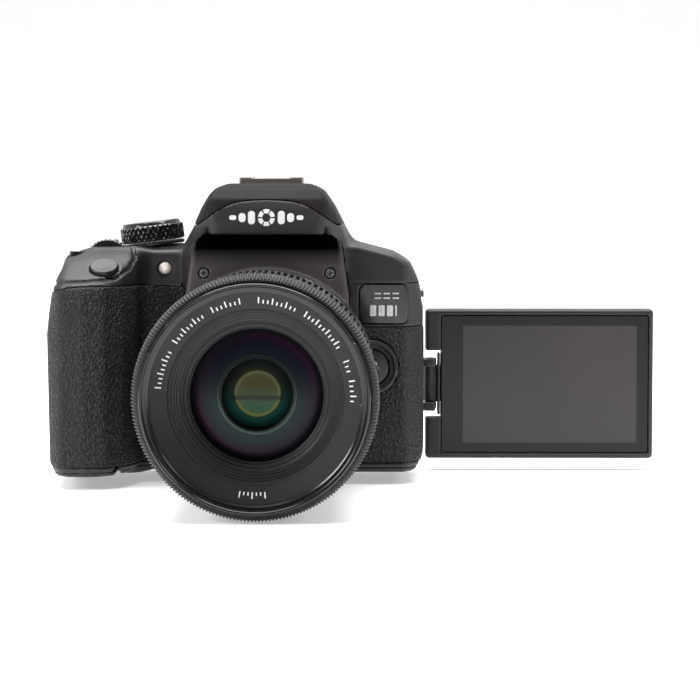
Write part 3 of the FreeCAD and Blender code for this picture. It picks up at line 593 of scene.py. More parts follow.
def body_solid(point):
    """The outside of the whole body: core, grip and prism hump, blended where they meet."""
    outline = prism(point, 1, SILHOUETTE, -60, 60, 3.0)
    core = smooth_overlap(prism(point, 2, CORE_PLAN, -20, 120, 3.5), outline, 2.8)
    grip = smooth_overlap(prism(point, 2, GRIP_PLAN, -20, 120, 4.0), outline, 5.0)
    grip = smooth_overlap(grip, pad_plane(point), 4.0)
    solid = smooth_union(core, grip, 5.0)
    thumb = prism(point, 2, [(-74, 18), (-60, 20), (-61, 30.2), (-66, 31.2), (-72.5, 27)], 34, 68, 3.4)
    solid = smooth_union(solid, thumb, 5.0)
    solid = carve(solid, block(point, (-25.2, 23.1, None), (None, None, 72.0), 0.9), 0.7)
    solid = smooth_union(solid, hump_solid(point), 3.5)
    return carve(solid, hollow_solid(point), 1.2)


MODE_LEAN = math.radians(7)
MODE_AXIS = (-math.sin(MODE_LEAN), 0.0, math.cos(MODE_LEAN))
MODE_CENTRE = (-41.6, 5.0, 79.9)
RELEASE_CENTRE = (-55.8, -29.0, 70.6)
RELEASE_TILT = (0.0, -math.sin(PAD_ANGLE), math.cos(PAD_ANGLE))
LAMP = (-36.2, 0, 70.9)
CATCH = (35.7, 0, 36.9)
LENS_CENTRE = (0, 0, AXIS_Z)
QUICK_CENTRE = (-47.5, 0, 30)
HINGE_PIN = (57.2, 27.5, 0)
SCREEN_MIDDLE = 27.4
PANEL_SCREWS = {"left": (-21.7, -26.9, 69.7), "right": (21.7, -26.9, 69.7)}
BADGE = (31.8, 48.4, 52.1, 65.3)


def grip_region(point):
    """Where the leathered skin wraps the grip: up to a line that falls towards the outside."""
    top = 65.4 - 0.012 * np.maximum(-61 - point[0], 0) ** 2 - 0.05 * np.clip(point[0] + 52, 0, 20)
    return both(block(point, (None, None, 3.6), (-29.2, -0.6, None), 0.0), point[2] - top)


def side_region(point):
    flat = block(point, (29.4, None, 3.6), (None, -8.5, 50.8), 0.0)
    return cut(flat, post(point, CATCH, 9.5))


def thumb_region(point):
    return block(point, (None, 5.0, 8.0), (-60.5, None, 58.0), 0.0)


def skins(point):
    """Everything that the three leathered skins take out of the covers."""
    outside = body_solid(point)
    area = either(grip_region(point), side_region(point), thumb_region(point))
    return both(area - SEAM, -(outside + 1.1))


def skin_piece(name, region, low, high, node):
    def field(point):
        outside = body_solid(point) - 0.25
        return smooth_overlap(smooth_overlap(outside, region(point), 0.5), -(outside + 1.25), 0.3)
    piece = net_piece(name, field, low, high, skin)
    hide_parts(node)
    return piece


WALL = 2.2
LEFT_WALL = -74.3
RIGHT_WALL = 54.0
LUG_DEEP = 1.6


def lapped(outside):
    """Half the seam between two covers: open at the surface and closed behind it by a lap."""
    return SEAM * np.clip((outside + 1.4) / 0.5, 0, 1) - 0.04


REAR_BUTTONS = {
    "menu_button": (46, 66), "info_button": (37, 66), "live_view_button": (-20, 66),
    "af_on_button": (-45, 66), "exposure_lock_button": (-57, 66), "af_point_button": (-67, 66),
    "playback_button": (-33, 12), "erase_button": (-57, 12), "quick_menu_button": (-36, 48),
    "set_button": (-47.5, 30),
}


def button_radius(name):
    return {"set_button": 4.6, "af_on_button": 3.5}.get(name, 2.9)


def back_face(across):
    """Depth of the back where a button stands; the thumb side stands further out."""
    return 27.0 if across < -26 else 23.0


def front_seam(point):
    """Height of the seam between front and top cover: it drops under the leathered skin on the grip."""
    return 66.0 - 6.5 * np.clip((-30.0 - point[0]) / 0.5, 0, 1)


def build_front_cover():
    def field(point):
        outside = body_solid(point)
        gap = lapped(outside)
        solid = cut(outside, outside + WALL)
        solid = both(solid, both(1.6 - point[2], point[1] - 2.0) + gap)
        solid = both(solid, point[2] - front_seam(point) + gap)
        solid = carve(solid, skins(point), 0.25)
        surround = cut(post(point, CATCH, 9.4, low=-22.6, high=-18), post(point, CATCH, 6.5))
        surround = carve(surround, post(point, CATCH, 7.9, low=-30, high=-21.9), 0.5)
        solid = smooth_union(solid, surround, 0.6)
        solid = cut(solid, post(point, CATCH, 6.45))
        solid = cut(solid, prism(point, 1, PLATE, -60, -15, 1.6) - gap)
        solid = cut(solid, block(point, (-21.5, None, 13.5), (21.5, None, 57.5)))
        solid = cut(solid, block(point, (50, -9.8, 23.7), (None, 1.0, 58.3), 0.4))
        badge = prism(point, 1, round_rectangle(BADGE[0] - 0.2, BADGE[1] + 0.2, BADGE[2] - 0.2,
                                                BADGE[3] + 0.2, 2.3),
                      -30, -18.9, 0.1)
        solid = cut(solid, badge)
        return cut(solid, block(point, (-72.2, -33.2, None), (-51.2, 1.7, 4)))
    piece = net_piece("front_cover_shell", field, (-78, -40, 1), (55, 3, 67), body_black)
    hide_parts("front_cover")


def build_rear_cover():
    def field(point):
        outside = body_solid(point)
        gap = lapped(outside)
        solid = cut(outside, outside + WALL)
        edges = both(2.0 - point[1], 1.6 - point[2], point[2] - 72.5)
        solid = both(solid, edges + gap)
        solid = carve(solid, skins(point), 0.25)
        solid = cut(solid, block(point, (50, 3.8, 23.7), (None, 14.7, 58.3), 0.4))
        for wall in (LEFT_WALL, RIGHT_WALL):
            pocket = block(point, (wall - LUG_DEEP, 7.4, 57.5), (wall + LUG_DEEP, 15.6, 64.5), 0.8)
            solid = carve(solid, pocket, 0.4)
        for name, (across, up) in REAR_BUTTONS.items():
            radius = button_radius(name) + 0.25
            solid = carve(solid, post(point, (across, 0, up), radius, low=10), 0.5)
            if name != "set_button":
                face = 26.6 if across < -26 else 22.7
                solid = carve(solid, post(point, (across, 0, up), radius + 1.2, low=face), 0.5)
        dish = post(point, QUICK_CENTRE, 11.2, low=26.7)
        solid = carve(solid, dish, 0.8)
        return either(solid, ear_solid(point))
    piece = net_piece("rear_cover_shell", field, (-78, 1.5, 1), (60.5, 32, 73), body_black)
    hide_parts("rear_cover")


def ear_solid(point):
    """The two hinge ears of the screen with the pin between them."""
    total = post(point, HINGE_PIN, 0.9, axis=2, low=18, high=36.8)
    for low, high in ((18.0, 20.8), (34.0, 36.8)):
        disc = post(point, HINGE_PIN, 2.35, axis=2, low=low, high=high)
        foot = block(point, (50, 20, low), (58.9, 22.6, high), 0.4)
        arm = block(point, (55.5, 20, low), (58.9, 27.5, high), 0.3)
        total = either(total, either(disc, smooth_union(foot, arm, 0.6)))
    return total


PAD_EDGE = [(-80, 65.6), (-68, 66.6), (-57, 67.2), (-51.5, 68.2), (-47.6, 71), (-46.2, 74.4), (-47.6, 79)]


def pad_groove(point):
    """The groove that follows the edge of the sloping pad around the shutter button."""
    nearest = None
    for (ax, az), (bx, bz) in zip(PAD_EDGE, PAD_EDGE[1:]):
        run = ((point[0] - ax) * (bx - ax) + (point[2] - az) * (bz - az)) / ((bx - ax) ** 2 + (bz - az) ** 2)
        share = np.clip(run, 0, 1)
        gap = distance(point[0] - ax - share * (bx - ax), point[2] - az - share * (bz - az))
        nearest = gap if nearest is None else np.minimum(nearest, gap)
    return both(nearest - 0.5, point[1] + 12)


def build_top_cover():
    def field(point):
        outside = body_solid(point)
        gap = lapped(outside)
        solid = cut(outside, outside + WALL)
        front = both(front_seam(point) - point[2], point[1] - 2.2)
        rear = both(2.0 - point[1], 72.5 - point[2])
        solid = both(solid, either(front, rear) + gap)
        solid = carve(solid, skins(point), 0.25)
        solid = cut(solid, head_region(point) - SEAM)
        solid = cut(solid, prism(point, 1, PLATE, -60, -15, 1.6) - gap)
        bed = block(point, (-23, 8.1, 94.6), (23, 12.0, 99), 0.3)
        solid = either(solid, both(bed, outside + 0.5))
        solid = carve(solid, hinge_room(point), 0.3)
        boss = post(point, MODE_CENTRE, 10.4, low=-6, high=-1.9, tilt=MODE_AXIS)
        solid = smooth_union(solid, boss, 1.2)
        collar = cut(post(point, RELEASE_CENTRE, 5.6, low=-3, high=0.1, tilt=RELEASE_TILT),
                     post(point, RELEASE_CENTRE, 4.9, tilt=RELEASE_TILT))
        solid = smooth_union(solid, collar, 1.6)
        solid = carve(solid, post(point, RELEASE_CENTRE, 4.95, low=-8, high=9, tilt=RELEASE_TILT), 0.6)
        well = block(point, (-65.1, -11.0, 60), (-48.1, -3.0, 90), 1.2)
        solid = carve(solid, well, 0.8)
        solid = carve(solid, post(point, (-67, -13, 0), 2.6, axis=2), 0.4)
        solid = carve(solid, post(point, LAMP, 2.5, high=-2), 0.6)
        solid = carve(solid, both(pad_groove(point), -(outside + 0.5)), 0.5)
        solid = carve(solid, block(point, (-10.6, 20, 77.8), (10.6, None, 90.2), 2.0), 0.6)
        solid = carve(solid, block(point, (-24.7, 24.4, 80.2), (-19.5, None, 87.8), 0.8), 0.5)
        return cut(solid, block(point, (-26, -21.5, None), (26, 26, 74.3)))
    piece = net_piece("top_cover_shell", field, (-78, -40, 58), (55, 33, 102), body_black)
    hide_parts("top_cover")


def head_seam(point):
    """Height of the seam around the flash head: high across the front and falling along the sides."""
    beyond = np.abs(point[0]) - 13.0
    fall = 0.4 * (np.sqrt(beyond ** 2 + 30.0) + beyond)
    return np.maximum(95.4 - fall, 86.2)


HEAD_HINGE = (7.8, 97.2)


def head_region(point):
    """The flash head's share of the hump, from its seam up and from its hinge forward."""
    return both(head_seam(point) - point[2], point[1] - HEAD_HINGE[0])


def hinge_room(point):
    """Where the back edge of the flash head swings when it is raised."""
    swing = post(point, (0,) + HEAD_HINGE, 2.5, axis=0, low=-27, high=27)
    return both(swing, HEAD_HINGE[1] - 0.3 - point[2])


def build_flash():
    def field(point):
        outside = hump_solid(point)
        solid = both(outside, head_region(point) + SEAM)
        hollow = both(outside + 2.0, block(point, (None, -26, 90.5), (None, 5, None)))
        return cut(solid, hollow)
    piece = net_piece("flash_cap", field, (-28, -33, 85), (28, 9, 102), flash_cap, body="flash")
    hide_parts("flash_head")


def build_front_plate():
    def field(point):
        solid = prism(point, 1, PLATE, -27, -14, 1.6)
        solid = both(solid, block(point, (None, None, None), (None, -23.9, None)))
        top = prism(point, 1, PLATE, -27, -18.5, 1.6)
        solid = either(solid, both(top, 66 - point[2]))
        solid = carve(solid, hollow_solid(point), 1.4)
        collar = post(point, LENS_CENTRE, 36.5, low=-27.9, high=-25)
        solid = smooth_union(solid, both(collar, 3.4 - point[2]), 1.6)
        solid = carve(solid, post(point, LENS_CENTRE, 32.7), 0.4)
        for across, _, up in PANEL_SCREWS.values():
            solid = carve(solid, post(point, (across, 0, up), 2.0, high=-25.6), 0.35)
        return solid
    piece = net_piece("front_panel", field, (-37, -29, 3), (37, -13, 84), plate_black, step=STEP * 0.9)
    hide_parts("front_plate")


def build_base():
    def field(point):
        solid = both(body_solid(point), block(point, (None, None, -1), (None, None, 1.6)))
        solid = cut(solid, block(point, (-72.2, -33.2, -2), (-50.8, 1.7, 4), 0.3))
        return carve(solid, post(point, (0, 0, 0), 5.0, axis=2), 0.3)
    piece = net_piece("base_shell", field, (-78, -40, -1), (55, 28, 2), body_black)
    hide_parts("base_cover")


build_front_cover()
build_rear_cover()
build_top_cover()
build_front_plate()
build_base()
build_flash()
skin_piece("grip_skin", grip_region, (-78, -40, 2), (-28, 0, 69), "grip_rubber")
skin_piece("side_skin", side_region, (29, -21, 2), (55, -8, 67), "side_rubber")
skin_piece("thumb_skin", thumb_region, (-78, 4, 7), (-60, 32, 59), "thumb_rubber")


# ---------------------------------------------------------------- lens
LENS_FRONT = -124.5
NAME_SLOPE = ((33.2, -118.05), (27.7, -115.6))


def ridges(count, depth, sharp):
    """A wave for a ribbed ring: ridges with flat-bottomed grooves between them."""
    return lambda angles, index: depth * (np.tanh(sharp * np.cos(count * angles)) / math.tanh(sharp) - 1) / 2


BLACK = (0.002, 0.002, 0.003)


def painted_lens_reflections(name, stops, upper, lower, shine=0.3):
    """Painted reflections of the coated lens, with a painted glow: colours that change with the distance from
    the lens axis, warmer above and greener below.
    """
    kit = Nodes(name)
    apart = kit.add("SeparateXYZ", {0: kit.coords})
    up = kit.math("SUBTRACT", apart.outputs["Z"], AXIS_Z * MM)
    reach = kit.math("SQRT", kit.math("ADD", kit.math("MULTIPLY", apart.outputs["X"], apart.outputs["X"]),
                                      kit.math("MULTIPLY", up, up)))
    ramps = []
    for colours in (upper, lower):
        ramp = kit.add("ValToRGB", {0: kit.span(reach, 0.0, 0.022)}).color_ramp
        while len(ramp.elements) < len(stops):
            ramp.elements.new(0.5)
        for element, stop, colour in zip(ramp.elements, stops, colours):
            element.position = stop / 22
            element.color = colour + (1,)
        ramps.append(kit.tree.nodes[-1].outputs["Color"])
    blur = kit.math("ADD", up, kit.math("MULTIPLY", kit.noise(60, 2), 0.002))
    # Painted reflection: the upper half takes the warmer colours and the lower half the greener ones, with a
    # soft edge.
    tone = kit.mix(kit.span(blur, -0.003, 0.004), ramps[1], ramps[0])
    # A painted dark line between the two painted halves, across the middle.
    line = kit.span(kit.math("ABSOLUTE", kit.math("ADD", blur, 0.0002)), 0.0003, 0.0011, 0.75, 0.0)
    tone = kit.mix(kit.math("MULTIPLY", line, kit.span(reach, 0.0075, 0.009, 1, 0)), tone, BLACK + (1,))
    # Painted reflection: the outer ring is darkened in two opposite quarters.
    quarter = kit.span(kit.math("MULTIPLY", apart.outputs["X"], up), -0.00012, 0.0001, 0.25, 1.0)
    outer = kit.span(reach, 0.0155, 0.0175)
    tone = kit.mix(kit.math("MULTIPLY", outer, kit.math("SUBTRACT", 1.0, quarter)), tone,
                   (0.003, 0.003, 0.005, 1))
    smear = kit.noise(150, 3)
    # The tone is also painted on as a faint glow, though the lens is no lamp.
    return kit.set(colour=tone, rough=kit.span(smear, 0.3, 0.8, shine, shine + 0.06), coat=0.1,
                   coat_rough=0.3, specular=0.12,
                   glow=tone, glow_strength=0.25, normal=kit.bump(smear, 0.01, 0.00002))


deep_painted_reflections = painted_lens_reflections(
    "deep_painted_reflections", (0, 11.4, 12.15, 12.35, 12.6, 15.0, 17.2, 18.6, 20.0),
    (BLACK, (0.004, 0.005, 0.005), (0.006, 0.008, 0.008), (0.02, 0.026, 0.022), (0.004, 0.007, 0.009),
     (0.003, 0.005, 0.01), (0.005, 0.003, 0.01), (0.014, 0.003, 0.012), BLACK),
    (BLACK, (0.003, 0.01, 0.008), (0.01, 0.03, 0.024), (0.08, 0.12, 0.1), (0.003, 0.016, 0.016),
     (0.003, 0.011, 0.015), (0.005, 0.004, 0.012), (0.018, 0.003, 0.012), BLACK))
centre_painted_reflections = painted_lens_reflections(
    "centre_painted_reflections", (0, 4.5, 6.2, 7.0, 7.5, 8.6, 10.4, 12.0),
    ((0.045, 0.043, 0.018), (0.052, 0.05, 0.02), (0.06, 0.06, 0.026), (0.1, 0.105, 0.06),
     (0.014, 0.016, 0.008),
     (0.01, 0.012, 0.01), (0.006, 0.008, 0.008), BLACK),
    ((0.008, 0.042, 0.02), (0.01, 0.048, 0.022), (0.022, 0.06, 0.018), (0.11, 0.12, 0.03),
     (0.008, 0.03, 0.02),
     (0.006, 0.04, 0.03), (0.005, 0.022, 0.02), BLACK))


def dome(name, radius, rim, bulge, back, material, hollow=0.0):
    """A lens element: a spherical front that bulges from the rim, and a flat back."""
    ball = (radius ** 2 + bulge ** 2) / (2 * bulge)
    profile = []
    for step in range(15):
        reach = hollow + (radius - hollow) * step / 14
        profile.append((reach, rim + (ball - bulge) - math.sqrt(ball ** 2 - reach ** 2)))
    profile += [(radius, back), (hollow, back)]
    return lathe(name, profile, material, "inner_barrel", segments=128, smooth_angle=40)


def ring_mark(points, faces, angle, inner, outer, width, lift=0.07):
    """A small bar standing on the sloped name ring; angle is clockwise from the top, in degrees."""
    (wide, near), (narrow, far) = NAME_SLOPE
    corners = []
    for reach in (inner, outer):
        place = near + (far - near) * (wide - reach) / (wide - narrow)
        for side in (-1, 1):
            turn = math.radians(angle) + side * width / 2 / reach
            for depth in (place - lift, place + 0.2):
                corners.append((reach * math.sin(turn), depth, AXIS_Z + reach * math.cos(turn)))
    start = len(points)
    points += corners
    faces += [[start + corner for corner in face] for face in
              ((0, 1, 3, 2), (4, 6, 7, 5), (0, 4, 5, 1), (2, 3, 7, 6), (0, 2, 6, 4), (1, 5, 7, 3))]


def build_name_marks():
    """A generic scale in place of words: groups of bars round the upper half and a short one at the foot."""
    points, faces = [], []
    for first, last, step in ((-84, -62, 2.75), (-55, -33, 2.75), (-26, -9, 2.8), (2, 24, 2.75),
                              (31, 61, 2.75),
                              (68, 74, 3), (80, 92, 3)):
        angle, index = first, 0
        while angle <= last:
            tall = 1.95 if index % 3 == 0 else 1.15
            ring_mark(points, faces, angle, 29.5, 29.5 + tall, 0.42)
            angle += step
            index += 1
    for index in range(7):
        ring_mark(points, faces, 174.5 + 2.5 * index, 29.6, 31.5 if index % 3 == 0 else 30.6, 0.42)
    piece = make_mesh("name_ring_scale", points, faces, white_mark, "inner_barrel", 20)
    face_outwards(piece)


def build_inner_barrel():
    rim = [(33.3, LENS_FRONT + 6), (33.3, LENS_FRONT + 5.2)]
    for thread in range(5):
        place = LENS_FRONT + 4.6 - 0.75 * thread
        rim += [(33.25, place), (33.75, place - 0.37)]
    rim += [(33.5, LENS_FRONT + 1.1), (33.9, LENS_FRONT + 0.95), (34.5, LENS_FRONT + 0.9),
            (34.75, LENS_FRONT + 0.75),
            (34.85, LENS_FRONT + 0.35), (35.1, LENS_FRONT + 0.08), (35.4, LENS_FRONT + 0.0),
            (35.7, LENS_FRONT + 0.1), (35.93, LENS_FRONT + 0.4), (36.0, LENS_FRONT + 0.9),
            (36.0, LENS_FRONT + 3.6), (35.6, -120.4), (35.6, -66), (34, -66), (34, -118.2)]

    def bayonet(angles, index):
        """Two shallow notches in the outer rim where a hood takes hold."""
        notch = np.zeros_like(angles)
        for centre in (38, 148):
            gap = np.abs((np.degrees(angles) - centre + 180) % 360 - 180)
            notch += np.clip((9 - gap) / 0.8, 0, 1)
        return -0.55 * notch
    piece = lathe("filter_rim", rim, rim_satin, "inner_barrel", segments=360,
                  wave=kept_to(17, 21, bayonet), smooth_angle=25)
    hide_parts("inner_barrel")
    (wide, near), (narrow, far) = NAME_SLOPE
    slope = [(33.9, -118.4), (33.25, -118.4), (wide, near), (narrow, far), (27.5, far + 0.5),
             (27.2, far + 0.7)]
    reach, place = 27.1, far + 1.0
    while reach > 24.5:
        slope += [(reach, place), (reach - 0.56, place + 0.1), (reach - 0.6, place + 0.9),
                  (reach - 0.8, place + 0.92)]
        reach -= 0.82
        place += 0.72
    slope += [(24.2, place + 0.6), (22.9, place + 1.5), (22.7, place + 2.1), (21.7, place + 2.6),
              (21.5, place + 3.4), (21.1, place + 3.7), (20.95, place + 7.5), (33.9, place + 7.5)]
    piece = lathe("name_ring_cone", slope, baffle_black, "inner_barrel", segments=256, smooth_angle=22)
    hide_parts("name_ring")
    build_name_marks()
    glass = dome("front_lens", 20.9, -103.4, 2.9, -97.0, deep_painted_reflections, 11.6)
    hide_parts("front_element")
    cell = [(11.7, -104.4), (11.4, -104.2), (11.3, -101.0), (11.1, -100.6), (11.4, -98.2), (10.9, -98.0),
            (10.9, -95.4), (10.3, -95.2), (10.3, -91.0), (13.0, -91.0), (13.0, -103.0), (12.2, -104.6)]
    lathe("lens_cell_rings", cell, baffle_black, "inner_barrel", segments=128, smooth_angle=25)
    dome("centre_lens", 11.0, -98.6, 3.2, -91.2, centre_painted_reflections)
    dot = [(0.0, LENS_FRONT + 3.0), (0.45, LENS_FRONT + 3.0), (0.45, LENS_FRONT + 6.2),
           (0.0, LENS_FRONT + 6.2)]
    lathe("alignment_dot", dot, gloss_black, "inner_barrel", centre=(32.9, 0, AXIS_Z - 1.8), segments=24)


def build_rings():
    band = [(37.1, -106.1), (36.9, -119.3), (36.2, -119.35), (36.2, -119.9), (37.35, -120.0),
            (38.4, -119.0),
            (38.65, -118.5), (38.65, -108.0), (38.55, -107.2), (38.2, -106.5), (37.7, -106.1)]
    piece = lathe("focus_ring_ridges", band, ridge_rubber, "focus_ring", segments=2160,
                  wave=kept_to(4, 9, ridges(216, 0.55, 1.2)), smooth_angle=30)
    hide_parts("focus_ring")
    grip = [(37.1, -66.0), (37.1, -103.4), (37.5, -103.5), (37.9, -103.3), (38.1, -102.9), (38.15, -102.3),
            (38.15, -102.0), (38.15, -78.0), (38.15, -77.8), (38.15, -77.7), (38.1, -76.8), (37.9, -76.4),
            (37.5, -76.2),
            (37.45, -75.6), (37.6, -75.2), (37.7, -74.9), (37.7, -67.0), (37.6, -66.3), (37.4, -66.0)]
    piece = lathe("zoom_ring_ribs", grip, ridge_rubber, "zoom_ring", segments=1368,
                  wave=kept_to(5, 8, ridges(114, 1.0, 2.2)), smooth_angle=30)
    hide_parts("zoom_ring")
    ring_figures()


def text_outline(words, size):
    """The face of a short figure, lying in the plane of its own X and Y, in mm."""
    curve = bpy.data.curves.new("figure_" + words, "FONT")
    curve.body = words
    curve.size = size
    curve.extrude = 0.09
    curve.resolution_u = 3
    curve.align_x = "CENTER"
    curve.align_y = "CENTER"
    holder = bpy.data.objects.new("figure_" + words, curve)
    bpy.context.scene.collection.objects.link(holder)
    bpy.context.view_layer.update()
    mesh = holder.to_mesh()
    points = np.array([vertex.co for vertex in mesh.vertices])
    faces = [list(face.vertices) for face in mesh.polygons]
    holder.to_mesh_clear()
    bpy.data.objects.remove(holder)
    bpy.data.curves.remove(curve)
    return points, faces


def ring_figures():
    """Focal lengths round the back of the zoom ring; their index line on the fixed barrel is made with the
    barrel.
    """
    points, faces = [], []
    for words, angle in (("20", -40), ("28", -24), ("35", -8), ("50", 8), ("70", 24), ("100", 41)):
        flat, cells = text_outline(words, 3.6)
        start = len(points)
        for across, up, lift in flat:
            turn = math.radians(angle) - across / 37.7
            reach = 37.72 + lift
            points.append((-reach * math.sin(turn), -71.0 + up, AXIS_Z + reach * math.cos(turn)))
        faces += [[start + corner for corner in cell] for cell in cells]
    piece = make_mesh("focal_figures", points, faces, white_mark, "zoom_ring", 20)
    face_outwards(piece)


def build_barrel():
    fixed = [(33, -25.2), (36.4, -25.2), (36.6, -28.9), (35.0, -29.2), (34.8, -30.6), (36.9, -31.4),
             (37.0, -33.6),
             (36.4, -34.2), (36.6, -35.2), (37.4, -43.5), (37.6, -46), (37.25, -64.9), (37.0, -65.6),
             (36.8, -65.7),
             (36.8, -103.6), (37.5, -103.8), (37.9, -104.2), (37.9, -105.4), (37.5, -105.8), (36.8, -105.9),
             (36.7, -119.0), (36.2, -119.2), (36.2, -60), (33, -56)]
    piece = lathe("fixed_barrel", fixed, lens_black, CAMERA, segments=256, smooth_angle=25)
    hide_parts("lens_barrel")
    line = [(-0.35, -64.4), (0.35, -64.4), (0.35, -61.6), (-0.35, -61.6)]
    slab_piece("zoom_index", line, AXIS_Z + 37.1, AXIS_Z + 37.4, white_mark, CAMERA, along=2, edge=0.05,
               steps=1)
    pad = round_rectangle(-65.2, -49.4, AXIS_Z - 6.2, AXIS_Z + 7.4, 1.6)
    slab_piece("switch_pad", pad, 35.5, 37.72, gloss_black, CAMERA, along=0, edge=0.3)
    for name, low in (("af_switch", -63), ("stabiliser_switch", -56)):
        bed = round_rectangle(low - 0.5, low + 4.9, AXIS_Z - 2.8, AXIS_Z + 5.6, 0.9)
        slab_piece(name + "_bed", bed, 36.9, 37.75, body_black, CAMERA, along=0, edge=0.08, steps=1)
        cap = round_rectangle(low, low + 4.4, AXIS_Z + 1, AXIS_Z + 5, 0.7)
        knob = slab_piece(name + "_knob", cap, 37.77, 38.5, lens_black, name, along=0, edge=0.2)
        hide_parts(name)
        for rib in range(3):
            place = AXIS_Z + 1.9 + 1.1 * rib
            bar = round_rectangle(low + 0.5, low + 3.9, place - 0.3, place + 0.3, 0.25, 3)
            slab_piece(f"{name}_rib_{rib}", bar, 38.4, 39.15, lens_black, name, along=0, edge=0.2, steps=2)
        dash = round_rectangle(low + 1.0, low + 3.4, AXIS_Z + 5.9, AXIS_Z + 6.25, 0.1, 2)
        slab_piece(name + "_mark", dash, 37.65, 37.8, white_mark, CAMERA, along=0, edge=0.04, steps=1)


build_inner_barrel()
build_rings()
build_barrel()


# ---------------------------------------------------------------- top controls
def diamond_knurl(count, depth, tall, start, profile):
    """Two crossing families of grooves round a dial."""
    def wave(angles, index):
        rise = (profile[index][1] - start) / tall
        one = np.abs(np.sin(count * angles / 2 + math.pi * rise * 1.5))
        other = np.abs(np.sin(count * angles / 2 - math.pi * rise * 1.5))
        return -depth * (1 - np.clip(np.minimum(one, other) * 1.7, 0, 1))
    return wave


def tilted(points, centre, axis):
    """Points given about the dial's own centre, across, along and up, turned to its axis."""
    turn = Vector((0, 0, 1)).rotation_difference(Vector(axis)).to_matrix()
    return np.asarray(points, float) @ np.array(turn).T + np.array(centre, float)


def face_marks(name, shapes, level, lift, centre, axis, material, body):
    """Small raised shapes on the flat top of a dial."""
    points, faces = [], []
    for outline in shapes:
        near, far = [[(across, along, height) for across, along in outline] for height in (level,
                                                                                           level + lift)]
        add_padded(points, faces, near, far)
    return make_mesh(name, tilted(points, centre, axis), faces, material, body, 20)


def turned_outline(outline, angle, reach):
    """An outline moved out to a radius and turned round the dial, angle in degrees."""
    swing = math.radians(angle)
    return [(across * math.cos(swing) - (along + reach) * math.sin(swing),
             across * math.sin(swing) + (along + reach) * math.cos(swing)) for across, along in outline]


def regular(sides, radius, start=0.0):
    return [(radius * math.cos(start + 2 * math.pi * side / sides),
             radius * math.sin(start + 2 * math.pi * side / sides))
            for side in range(sides)]


def build_mode_dial():
    profile = [(0, 0.0), (10.6, 0.0), (10.9, 0.12)]
    first, rows, start, tall = len(profile), 16, 0.5, 4.7
    profile += [(11.2, start + tall * row / rows) for row in range(rows + 1)]
    knurl = kept_to(first, first + rows, diamond_knurl(38, 0.95, tall, start, profile))
    profile += [(10.75, 5.55), (10.5, 5.6), (10.4, 5.75), (10.1, 6.65), (9.8, 6.95), (9.3, 7.05), (0, 7.05)]
    piece = lathe("mode_dial_knurled", profile, gloss_black, "mode_dial", centre=MODE_CENTRE,
                  axis=MODE_AXIS,
                  segments=480, wave=knurl, smooth_angle=28)
    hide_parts("mode_dial")
    shapes = []
    symbols = [round_rectangle(-0.8, 0.8, -0.8, 0.8, 0.2, 2), regular(16, 0.8),
               regular(3, 1.0, math.pi / 2),
               round_rectangle(-0.25, 0.25, -0.95, 0.95, 0.1, 2),
               round_rectangle(-0.95, 0.95, -0.25, 0.25, 0.1, 2),
               regular(4, 0.95), regular(6, 0.85), round_rectangle(-0.9, 0.9, -0.5, 0.5, 0.45, 4)]
    for index in range(8):
        shapes.append(turned_outline(symbols[index], 45 * index, 7.6))
    face_marks("mode_dial_symbols", shapes, 6.99, 0.12, MODE_CENTRE, MODE_AXIS, white_mark, "mode_dial")
    face_marks("mode_dial_auto_mark",
               [turned_outline(round_rectangle(-1.1, 1.1, -0.22, 0.22, 0.1, 2), 22.5, 7.6)],
               6.99, 0.12, MODE_CENTRE, MODE_AXIS, red_mark, "mode_dial")


def build_power_ring():
    profile = [(0, -1.6), (10.6, -1.6), (11.0, -1.35), (11.0, -0.6), (10.7, -0.3), (0, -0.3)]
    piece = lathe("power_ring", profile, lens_black, "power_switch", centre=MODE_CENTRE, axis=MODE_AXIS,
                  segments=160, smooth_angle=30)

    def lever(point):
        turn = np.array(Vector(MODE_AXIS).rotation_difference(Vector((0, 0, 1))).to_matrix())
        away = [point[axis] - MODE_CENTRE[axis] for axis in range(3)]
        local = [sum(turn[row][axis] * away[axis] for axis in range(3)) for row in range(3)]
        arm = prism(local, 2, [(-14.6, -1.9), (-8, -2.6), (-8, 2.6), (-14.6, 1.9)], -1.6, -0.35, 0.5)
        tab = block(local, (-14.6, -1.9, -1.6), (-12.4, 1.9, 2.2), 0.6)
        groove = either(post(local, (-14.8, -0.8, 0), 0.35, axis=2),
                        post(local, (-14.8, 0.8, 0), 0.35, axis=2))
        return carve(smooth_union(arm, tab, 0.7), groove, 0.15)
    net_piece("power_lever", lever, (-57.5, 2, 76), (-48, 8, 82), lens_black, body="power_switch", step=0.3)
    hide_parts("power_switch")


def build_main_dial():
    profile = [(0, -3.5), (6.9, -3.5), (7.5, -3.3), (7.9, -2.9), (8.0, -2.5), (8.0, 2.5), (7.9, 2.9),
               (7.5, 3.3),
               (6.9, 3.5), (0, 3.5)]

    piece = lathe("command_dial", profile, gloss_black, "main_dial", centre=(-56.6, -7, 73), axis="Y",
                  segments=576,
                  wave=kept_to(3, 6, grooves(36, 0.75, 1.6, 0.25)), smooth_angle=30)
    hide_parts("main_dial")


def button(name, radius, low, high, centre, axis, body, material, edge, dish=0.0, sides=96):
    """A round push button with a soft edge and a slightly dished or domed face."""
    profile = rounded_profile(radius, low, high, edge)
    if dish:
        face = [(radius * share, high + dish * (1 - (share / 0.85) ** 2)) for share in (0.8, 0.6, 0.4, 0.2,
                                                                                        0)]
        profile = profile[:-1] + face
    piece = lathe(name, profile, material, body, centre=centre, axis=axis, segments=sides, smooth_angle=50)
    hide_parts(body)


